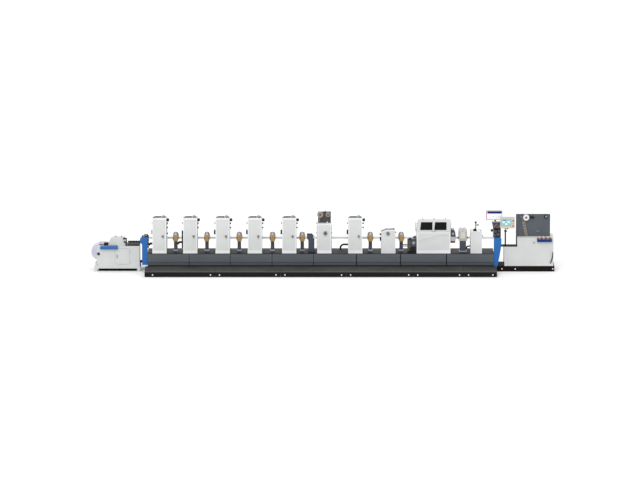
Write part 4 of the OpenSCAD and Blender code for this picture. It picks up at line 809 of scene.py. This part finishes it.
def dress_controls():
    clow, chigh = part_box("outfeed_console")
    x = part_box("bed_frame")[1].x + 0.090

    def desk(bm):
        prism(bm, [(x - 0.112, 1.352), (x + 0.096, 1.352), (x + 0.122, 1.500), (x - 0.142, 1.500)], "y", 0.146, 0.151)
    piece("console_face", "press", "console_grey", desk, bevel=0.002)
    for index, look in enumerate(("orange", "foot_grey", "brown", "deep_blue")):
        def keys(bm, index=index):
            for row in range(4):
                for k in range(6):
                    if (row * 5 + k * 3) % 4 != index:
                        continue
                    cx = x - 0.082 + k * 0.033
                    cz = 1.385 + row * 0.029
                    lathe(bm, [(0.0, 0.010), (-0.006, 0.010), (-0.008, 0.008)], (cx, 0.147, cz), "y", 14)
        piece("console_keys_%d" % index, "press", look, keys)

    def desk_top(bm):
        prism(bm, rounded(x - 0.158, x + 0.138, 1.528, 1.5475, 0.004, 2), "y", 0.146, 0.264)
    piece("console_top", "press", "lavender_grey", desk_top, bevel=0.002)

    low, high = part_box("monitor")
    front = low.y
    frame_outer = rounded(low.x, high.x, low.z, high.z, 0.012)
    frame_inner = rounded(low.x + 0.018, high.x - 0.012, low.z + 0.018, high.z - 0.012, 0.004)
    piece("monitor_bezel", "monitor", "bezel",
          lambda bm: frame_strip(bm, frame_outer, frame_inner, front - 0.005, front + 0.002), bevel=0.0015)
    piece("monitor_edge", "monitor", "rose",
          lambda bm: prism(bm, [(low.x - 0.001, low.z), (high.x - 0.010, low.z), (high.x - 0.010, low.z + 0.009),
                                (low.x + 0.018, low.z + 0.014), (low.x + 0.018, high.z - 0.004),
                                (low.x - 0.001, high.z - 0.004)], "y", front - 0.007, front + 0.001), bevel=0.001)
    piece("monitor_screen", "monitor", "screen_white",
          lambda bm: prism(bm, rounded(low.x + 0.017, high.x - 0.011, low.z + 0.016, high.z - 0.011, 0.002, 1),
                           "y", front - 0.002, front + 0.001))
    piece("monitor_bar", "monitor", "screen_blue",
          lambda bm: prism(bm, rounded(low.x + 0.036, high.x - 0.016, high.z - 0.094, high.z - 0.020, 0.002, 1),
                           "y", front - 0.0032, front - 0.001))

    def icons(bm):
        for cx, cz, w in ((0.205, 0.090, 0.036), (0.372, 0.094, 0.024), (0.110, 0.060, 0.016), (0.300, 0.050, 0.020)):
            prism(bm, rounded(low.x + cx, low.x + cx + w, low.z + cz, low.z + cz + 0.012, 0.003, 2),
                  "y", front - 0.0032, front - 0.001)
    piece("monitor_icons", "monitor", "rose", icons)

    def monitor_back(bm):
        back = low.y + 0.034
        prism(bm, rounded(low.x + 0.060, high.x - 0.060, low.z + 0.150, high.z - 0.020, 0.012, 3),
              "y", back, back + 0.012)
        for k in range(8):
            z = high.z - 0.040 - k * 0.010
            prism(bm, rounded(low.x + 0.120, high.x - 0.120, z, z + 0.004, 0.001, 1), "y", back + 0.011, back + 0.0135)
    piece("monitor_back", "monitor", "black", monitor_back, bevel=0.001)

    low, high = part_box("hmi_panel")
    z0 = high.z - 0.350
    y = low.y
    piece("hmi_face", "hmi_panel", "bezel",
          lambda bm: prism(bm, rounded(low.x + 0.008, high.x - 0.008, z0 + 0.010, high.z - 0.010, 0.010),
                           "y", y - 0.004, y + 0.001), bevel=0.0015)
    sx0, sx1, sz0, sz1 = low.x + 0.046, low.x + 0.325, z0 + 0.092, z0 + 0.278
    piece("hmi_screen_rim", "hmi_panel", "foot_grey",
          lambda bm: frame_strip(bm, rounded(sx0 - 0.014, sx1 + 0.014, sz0 - 0.014, sz1 + 0.014, 0.008),
                                 rounded(sx0, sx1, sz0, sz1, 0.003), y - 0.007, y - 0.002), bevel=0.001)
    piece("hmi_screen", "hmi_panel", "screen_cyan",
          lambda bm: prism(bm, rounded(sx0, sx1, sz0, sz1, 0.003), "y", y - 0.005, y - 0.003))

    def blocks(bm, odd):
        for k in range(3):
            for row in range(2):
                if (k + row) % 2 == odd:
                    bx, bz = sx0 + 0.030 + k * 0.078, sz0 + 0.022 + row * 0.056
                    prism(bm, rounded(bx, bx + 0.064, bz, bz + 0.042, 0.004, 2), "y", y - 0.0062, y - 0.0045)
    piece("hmi_tiles_a", "hmi_panel", "screen_green", lambda bm: blocks(bm, 0))
    piece("hmi_tiles_b", "hmi_panel", "screen_white", lambda bm: blocks(bm, 1))
    piece("hmi_bar", "hmi_panel", "screen_blue",
          lambda bm: prism(bm, rounded(sx0 + 0.040, sx0 + 0.140, sz1 - 0.036, sz1 - 0.018, 0.002, 1),
                           "y", y - 0.0062, y - 0.0045))

    def button(bm, cz, r):
        lathe(bm, [(0.0, r * 1.25), (-0.004, r * 1.25), (-0.006, r), (-0.018, r), (-0.021, r * 0.8)],
              (low.x + 0.396, y - 0.004, cz), "y", 28)
    piece("hmi_button_dark", "hmi_panel", "dark", lambda bm: button(bm, z0 + 0.240, 0.016))
    piece("hmi_button_stop", "hmi_panel", "orange", lambda bm: button(bm, z0 + 0.078, 0.020))
    piece("hmi_button_mid", "hmi_panel", "foot_grey", lambda bm: button(bm, z0 + 0.160, 0.011))

    def clamp(bm):
        plow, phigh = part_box("hmi_post")
        px, py = (plow.x + phigh.x) / 2, (plow.y + phigh.y) / 2
        lathe(bm, [(0.0, 0.030), (0.006, 0.036), (0.050, 0.036), (0.056, 0.030)], (px, py, 1.238), "z", 28)
        knob(bm, (px + 0.030, py - 0.01, 1.264), "x", 0.030, 0.014)
        lathe(bm, [(0.0, 0.052), (0.006, 0.052), (0.010, 0.040), (0.012, 0.026)], (px, py, plow.z), "z", 28)
    piece("hmi_clamp", "press", "black", clamp)

    def joint_knob(bm):
        plow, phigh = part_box("hmi_post")
        px, py = (plow.x + phigh.x) / 2, (plow.y + phigh.y) / 2
        lathe(bm, [(0.0, 0.009), (0.030, 0.009)], (px + 0.020, py, 1.345), "x", 14)
        knob(bm, (px + 0.048, py, 1.345), "x", 0.040, 0.030)
    piece("hmi_joint_knob", "hmi_panel", "black", joint_knob)


def dress_foil():
    low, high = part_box("foil_plate")
    paint_faces("foil_plate", "black", lambda c, n: c.z > high.z - 0.0245)
    paint_faces("foil_plate", "steel", lambda c, n: c.y < high.y - 0.0245 and abs(n.z) + abs(n.x) > 0.1)

    def reel(bm, body, radius):
        rlow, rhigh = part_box(body)
        x, z = (rlow.x + rhigh.x) / 2, (rlow.z + rhigh.z) / 2
        y = rlow.y + 0.008
        profile = [(0.0, radius - 0.001), (-0.002, radius - 0.003)]
        for k in range(6):
            r = radius - 0.006 - k * 0.006
            profile += [(-0.003, r), (-0.0015, r - 0.003)]
        profile += [(-0.002, 0.036), (-0.0005, 0.034)]
        lathe(bm, profile, (x, y, z), "y", 48)
    piece("foil_face_left", "foil_reel_left", "kraft", lambda bm: reel(bm, "foil_reel_left", 0.093))
    piece("foil_face_right", "foil_reel_right", "kraft", lambda bm: reel(bm, "foil_reel_right", 0.071))
    piece("waste_face", "waste_reel", "white", lambda bm: reel(bm, "waste_reel", 0.093))

    def hub(bm, body):
        rlow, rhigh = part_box(body)
        x, z = (rlow.x + rhigh.x) / 2, (rlow.z + rhigh.z) / 2
        lathe(bm, [(0.004, 0.034), (-0.004, 0.034), (-0.007, 0.030), (-0.007, 0.014)], (x, rlow.y, z), "y", 32)
        for k in range(3):
            a = math.radians(30 + 120 * k)
            lathe(bm, [(0.0, 0.004), (-0.003, 0.004), (-0.004, 0.003)],
                  (x + 0.022 * math.cos(a), rlow.y - 0.006, z + 0.022 * math.sin(a)), "y", 10)
    for body in ("foil_reel_left", "foil_reel_right", "waste_reel"):
        piece(body + "_hub", body, "brown_metal", lambda bm, body=body: hub(bm, body))


def dress_foil_tower():
    low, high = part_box("foil_tower")

    def strip(bm):
        # Foil from the left reel down to the slot in the tower's top
        prism(bm, [(0.1580, high.z + 0.001), (0.1600, high.z + 0.001), (0.1600, 1.700), (0.1580, 1.700)],
              "x", -0.128, -0.078)
    piece("foil_strip", "press", "foil_tan", strip)

    def roller_cap(bm):
        plow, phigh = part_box("foil_plate")
        knob(bm, (0.143, 0.078 + 0.060, high.z + 0.030), "y", -0.014, 0.021)
    piece("foil_roller_cap", "press", "white", roller_cap)

    def rails(bm):
        for x, way in ((low.x + 0.004, -1.0), (high.x - 0.004, 1.0)):
            a, b = sorted((x, x + way * 0.010))
            prism(bm, rounded(a, b, 0.660, high.z - 0.050, 0.002, 1), "y", 0.070, 0.110)
            for z in (0.760, 0.905, 1.050, 1.195, 1.340):
                a, b = sorted((x, x + way * 0.018))
                prism(bm, rounded(a, b, z, z + 0.034, 0.004, 2), "y", 0.060, 0.120)
    piece("foil_tower_rails", "press", "brown", rails, bevel=0.001)


def dress_die_cutter():
    low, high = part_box("die_hood")
    for index, x0 in enumerate((low.x + 0.115, low.x + 0.550)):
        z0, z1 = 1.325, 1.555
        w = 0.362
        outer = [(x0 - 0.010, z0 - 0.010), (x0 + w + 0.010, z0 - 0.010), (x0 + w + 0.010, z1 + 0.010), (x0 + 0.018, z1 + 0.010)]
        inner = [(x0 + 0.004, z0 + 0.004), (x0 + w - 0.004, z0 + 0.004), (x0 + w - 0.004, z1 - 0.004), (x0 + 0.027, z1 - 0.004)]
        piece("hood_gasket_%d" % index, "die_hood", "black",
              lambda bm, outer=outer, inner=inner: frame_strip(bm, outer, inner, -0.004, 0.008), bevel=0.0015)

    def hood_handle(bm):
        x = (low.x + high.x) / 2 + 0.01
        tube(bm, [(x - 0.070, 0.0, 1.288), (x - 0.070, -0.024, 1.288), (x - 0.060, -0.030, 1.288),
                  (x + 0.060, -0.030, 1.288), (x + 0.070, -0.024, 1.288), (x + 0.070, 0.0, 1.288)], 0.006, 12)
    piece("hood_handle", "die_hood", "foot_grey", hood_handle, smooth=True)
    paint_faces("die_hood", "foot_grey", lambda c, n: c.z > high.z - 0.027)
    body_low, body_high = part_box("die_cutter")
    x0 = body_low.x + 0.030

    # Two faint curved lines across the housing front, in lavender grey: painted sheen.
    def sheen_lines(bm):
        points = []
        for k in range(25):
            s = k / 24.0
            points.append((x0 + 0.060 + 0.930 * s, 0.0072, 0.985 + 0.150 * s * s * (3 - 2 * s) + 0.035 * math.sin(3.1 * s)))
        tube(bm, points, 0.0050, 8)
        points = [(p[0], p[1], p[2] - 0.060 - 0.02 * i / 24.0) for i, p in enumerate(points)]
        tube(bm, points[:15], 0.0040, 8)
    piece("housing_sheen_lines", "press", "lavender_grey", sheen_lines, smooth=True)

    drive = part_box("die_drive")
    cut = drive[0].x + 0.1125
    paint_faces("die_drive", "slate_post", lambda c, n: c.x > cut and c.z > 0.751)
    paint_faces("die_drive", "dark", lambda c, n: c.x > cut and c.z <= 0.751)
    paint_faces("die_drive", "black", lambda c, n: c.z > 0.9705 and c.x < drive[0].x + 0.127 and c.y < 0.293)

    def drive_bits(bm):
        x = drive[0].x
        lathe(bm, [(0.0, 0.052), (-0.006, 0.052), (-0.010, 0.044), (-0.010, 0.020), (-0.024, 0.018)],
              (x + 0.195, 0.204, 0.870), "y", 32)
        lathe(bm, [(0.0, 0.024), (-0.006, 0.024), (-0.010, 0.018)], (x + 0.190, 0.204, 1.010), "y", 24)
        for z in (0.640, 0.760, 0.880):
            lathe(bm, [(0.0, 0.007), (-0.003, 0.007), (-0.004, 0.005)], (x + 0.055, 0.184, z), "y", 12)
    piece("drive_fittings", "press", "foot_grey", drive_bits)

    paint_faces("matrix_unit", "slate_post", lambda c, n: 1.0985 < c.z < 1.2905)
    paint_faces("matrix_unit", "foot_grey", lambda c, n: c.z >= 1.2905)
    paint_faces("matrix_unit", "warm_brown", lambda c, n: c.z < 0.9635)

    def matrix_box(bm):
        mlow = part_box("matrix_unit")[0]
        prism(bm, rounded(mlow.x + 0.004, mlow.x + 0.143, 0.966, 1.092, 0.006, 2), "y", 0.052, 0.0605)
    piece("matrix_box", "press", "cream", matrix_box, bevel=0.001)

    def matrix_bits(bm):
        mlow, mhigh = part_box("matrix_unit")
        for x in (mlow.x + 0.040, mlow.x + 0.120):
            lathe(bm, [(0.0, 0.010), (-0.003, 0.010), (-0.004, 0.007)], (x, 0.052, 1.040), "y", 14)
        lathe(bm, [(0.0, 0.036), (-0.005, 0.036), (-0.009, 0.028), (-0.009, 0.010)], (mlow.x + 0.080, 0.060, 1.190), "y", 28)
    piece("matrix_fittings", "press", "foot_grey", matrix_bits)


def dress_inspection():
    low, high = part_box("inspection_unit")
    mid = (low.x + high.x) / 2
    paint_faces("inspection_unit", "slate_post", lambda c, n: c.z < 0.931)
    paint_faces("inspection_unit", "foot_grey", lambda c, n: c.z < 0.6205)

    def pane(bm):
        prism(bm, rounded(mid - 0.070, mid + 0.070, 1.010, 1.205, 0.010), "y", 0.240, 0.245)
    piece("inspection_pane", "press", "pale_yellow", pane, bevel=0.001)

    def domes(bm):
        for side in (-1, 1):
            lathe(bm, [(0.0, 0.040), (-0.004, 0.038), (-0.006, 0.028), (-0.006, 0.012)],
                  (mid + side * 0.054, 0.244, 1.232), "y", 28)
    piece("inspection_domes", "press", "lavender", domes)

    def bits(bm):
        slow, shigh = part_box("slitter_sensor")
        x = slow.x + 0.078
        for up in (0.115, 0.195):
            lathe(bm, [(0.0, 0.018), (0.004, 0.021), (0.020, 0.021), (0.024, 0.018)],
                  (x, 0.120, slow.z + up), "z", 20)
    piece("sensor_collars", "press", "foot_grey", bits)
    slow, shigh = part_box("slitter_sensor")
    paint_faces("slitter_sensor", "foot_grey", lambda c, n: c.x > slow.x + 0.093 and c.z > 1.45)


def dress_rewinder():
    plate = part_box("rewind_plate")
    left = plate[0].x
    front = plate[1].y - 0.040
    paint_faces("rewind_plate", "black", lambda c, n: c.y < front - 0.001 and left + 0.42 < c.x < left + 0.56)
    paint_faces("rewind_plate", "brown_metal", lambda c, n: c.y < front - 0.001 and c.x < left + 0.225)
    paint_faces("rewind_plate", "dark", lambda c, n: c.y < front - 0.001 and c.x > left + 0.80)

    def knobs(bm):
        top = plate[1].z
        lathe(bm, [(0.0, 0.030), (-0.006, 0.030), (-0.012, 0.022), (-0.014, 0.010)],
              (left + 0.933, front - 0.040, top - 0.072), "y", 28)
        for x, z, r in ((left + 0.665, top - 0.526, 0.018), (left + 0.718, top - 0.548, 0.014)):
            lathe(bm, [(0.0, r), (-0.005, r), (-0.008, r * 0.7)], (x, front - 0.030, z), "y", 20)
    piece("plate_knobs", "press", "foot_grey", knobs)

    def guide_pins(bm):
        top = plate[1].z
        for x, z in ((left + 0.125, top - 0.062), (left + 0.175, top - 0.080), (left + 0.196, top - 0.150)):
            lathe(bm, [(0.0, 0.012), (-0.020, 0.012), (-0.024, 0.008)], (x, front - 0.050, z), "y", 18)
    piece("guide_pins", "press", "steel", guide_pins)

    low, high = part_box("rewind_cabinet")
    main = left + 0.037
    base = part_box("rewind_base")
    x0, x1 = main + 0.610, main + 1.066
    z = 0.942

    def console_top(bm):
        prism(bm, [(-0.006, z + 0.0775), (0.058, z + 0.114), (0.057, z + 0.117), (-0.007, z + 0.0805)],
              "x", x0 + 0.010, x1 - 0.010)
    piece("rewind_console_top", "press", "console_grey", console_top, bevel=0.001)

    def levers(bm, colour):
        for k in range(10):
            if k % 3 != colour:
                continue
            cx = x0 + 0.040 + k * 0.042
            lean = 0.010 * ((k % 4) - 1.5)
            height = 0.045 + 0.018 * (k % 3)
            tube(bm, [(cx, 0.022, z + 0.092), (cx + lean * 0.5, 0.022, z + 0.092 + height * 0.6),
                      (cx + lean, 0.020, z + 0.092 + height)], 0.0065, 10)
            lathe(bm, [(0.0, 0.008), (0.004, 0.013), (0.016, 0.013), (0.021, 0.008)],
                  (cx + lean, 0.020, z + 0.090 + height), "z", 14)
            lathe(bm, [(0.0, 0.016), (0.006, 0.015), (0.009, 0.008)], (cx, 0.022, z + 0.090), "z", 16)
    piece("levers_orange", "press", "orange", lambda bm: levers(bm, 0), smooth=False)
    piece("levers_white", "press", "white", lambda bm: levers(bm, 1), smooth=False)
    piece("levers_blue", "press", "deep_blue", lambda bm: levers(bm, 2), smooth=False)

    def marks(bm):
        for x in (base[0].x + 0.150, base[0].x + 0.560, base[1].x - 0.050):
            lathe(bm, [(0.0, 0.021), (-0.004, 0.021), (-0.004, 0.013), (-0.010, 0.012), (-0.011, 0.008)],
                  (x, base[0].y, 0.080), "y", 18)
    piece("plinth_bolts", "press", "white", marks)

    def rings(bm):
        lathe(bm, [(0.0, 0.024), (-0.004, 0.024), (-0.006, 0.018), (-0.006, 0.008)], (main + 0.514, 0.036, 0.910), "y", 24)
    piece("cabinet_knob_ring", "press", "foot_grey", rings)
    paint_faces("web_rollers", "black", lambda c, n: c.z < 0.900)
    paint_faces("consoles", "blue", lambda c, n: c.x < 0.0)
    paint_faces("web", "kraft", lambda c, n: c.x > 5.93)


# Stage, lamps and camera

def build_stage():
    size = 120.0
    mesh = bpy.data.meshes.new("floor")
    bm = bmesh.new()
    bmesh.ops.create_grid(bm, x_segments=1, y_segments=1, size=size)
    bm.to_mesh(mesh)
    bm.free()
    floor = bpy.data.objects.new("floor", mesh)
    bpy.context.scene.collection.objects.link(floor)
    g = Graph("floor_paint")
    g.shader.inputs["Base Color"].default_value = (0.82, 0.82, 0.82, 1.0)
    g.shader.inputs["Roughness"].default_value = 0.7
    path = g.add("ShaderNodeLightPath")
    glow = g.add("ShaderNodeEmission")
    glow.inputs["Color"].default_value = (1.0, 1.0, 1.0, 1.0)
    glow.inputs["Strength"].default_value = 0.12
    dark_glow = g.add("ShaderNodeEmission")
    dark_glow.inputs["Strength"].default_value = 0.0
    pick = g.add("ShaderNodeMixShader")
    g.link(path.outputs["Is Camera Ray"], pick.inputs[0])
    g.link(dark_glow.outputs[0], pick.inputs[1])
    g.link(glow.outputs[0], pick.inputs[2])
    both = g.add("ShaderNodeAddShader")
    g.link(g.shader.outputs[0], both.inputs[0])
    g.link(pick.outputs[0], both.inputs[1])
    output = g.tree.nodes["Material Output"]
    g.link(both.outputs[0], output.inputs["Surface"])
    mesh.materials.append(g.material)


def build_world():
    world = bpy.data.worlds.new("studio")
    world.use_nodes = True
    bpy.context.scene.world = world
    tree = world.node_tree
    background = tree.nodes["Background"]
    background.inputs["Color"].default_value = (1.0, 1.0, 1.0, 1.0)
    background.inputs["Strength"].default_value = 0.62
    white = tree.nodes.new("ShaderNodeBackground")
    white.inputs["Color"].default_value = (1.0, 1.0, 1.0, 1.0)
    white.inputs["Strength"].default_value = 1.0
    path = tree.nodes.new("ShaderNodeLightPath")
    seen = tree.nodes.new("ShaderNodeMath")
    seen.operation = "MAXIMUM"
    tree.links.new(path.outputs["Is Camera Ray"], seen.inputs[0])
    tree.links.new(path.outputs["Is Glossy Ray"], seen.inputs[1])
    either = tree.nodes.new("ShaderNodeMath")
    either.operation = "MAXIMUM"
    tree.links.new(seen.outputs["Value"], either.inputs[0])
    tree.links.new(path.outputs["Is Transmission Ray"], either.inputs[1])
    pick = tree.nodes.new("ShaderNodeMixShader")
    tree.links.new(either.outputs["Value"], pick.inputs[0])
    tree.links.new(background.outputs[0], pick.inputs[1])
    tree.links.new(white.outputs[0], pick.inputs[2])
    tree.links.new(pick.outputs[0], tree.nodes["World Output"].inputs["Surface"])


def sun_lamp(name, away, strength, angle):
    lamp = bpy.data.lights.new(name, "SUN")
    lamp.energy = strength
    lamp.angle = math.radians(angle)
    thing = bpy.data.objects.new(name, lamp)
    thing.rotation_euler = Vector(away).to_track_quat("Z", "Y").to_euler()
    bpy.context.scene.collection.objects.link(thing)


def build_lamps():
    sun_lamp("front_sun", (-0.25, -0.80, 0.75), 1.35, 35.0)
    sun_lamp("top_sun", (0.10, 0.15, 1.0), 0.8, 60.0)


PHOTO_SCALE = 0.03089
PHOTO_MIDDLE = Vector((-0.083, 0.0, 1.004))
CAMERA_TILT = math.radians(11.0)
CAMERA_LENS = 300.0


def build_camera():
    data = bpy.data.cameras.new("camera")
    data.sensor_width = 36.0
    data.lens = CAMERA_LENS
    data.clip_end = 800.0
    distance = CAMERA_LENS / data.sensor_width * PHOTO_SCALE * 640.0
    camera = bpy.data.objects.new("camera", data)
    away = Vector((0.0, -math.cos(CAMERA_TILT), math.sin(CAMERA_TILT)))
    camera.location = PHOTO_MIDDLE + away * distance
    camera.rotation_euler = (-away).to_track_quat("-Z", "Y").to_euler()
    bpy.context.scene.collection.objects.link(camera)
    bpy.context.scene.camera = camera


build_camera()
dress_nodes()
dress_bed()
dress_towers()
dress_tower_tops()
dress_dryers()
dress_unwinder()
dress_ends()
dress_controls()
dress_foil()
dress_foil_tower()
dress_die_cutter()
dress_inspection()
dress_rewinder()
build_stage()
build_world()
build_lamps()
bpy.context.scene.view_settings.view_transform = "Standard"
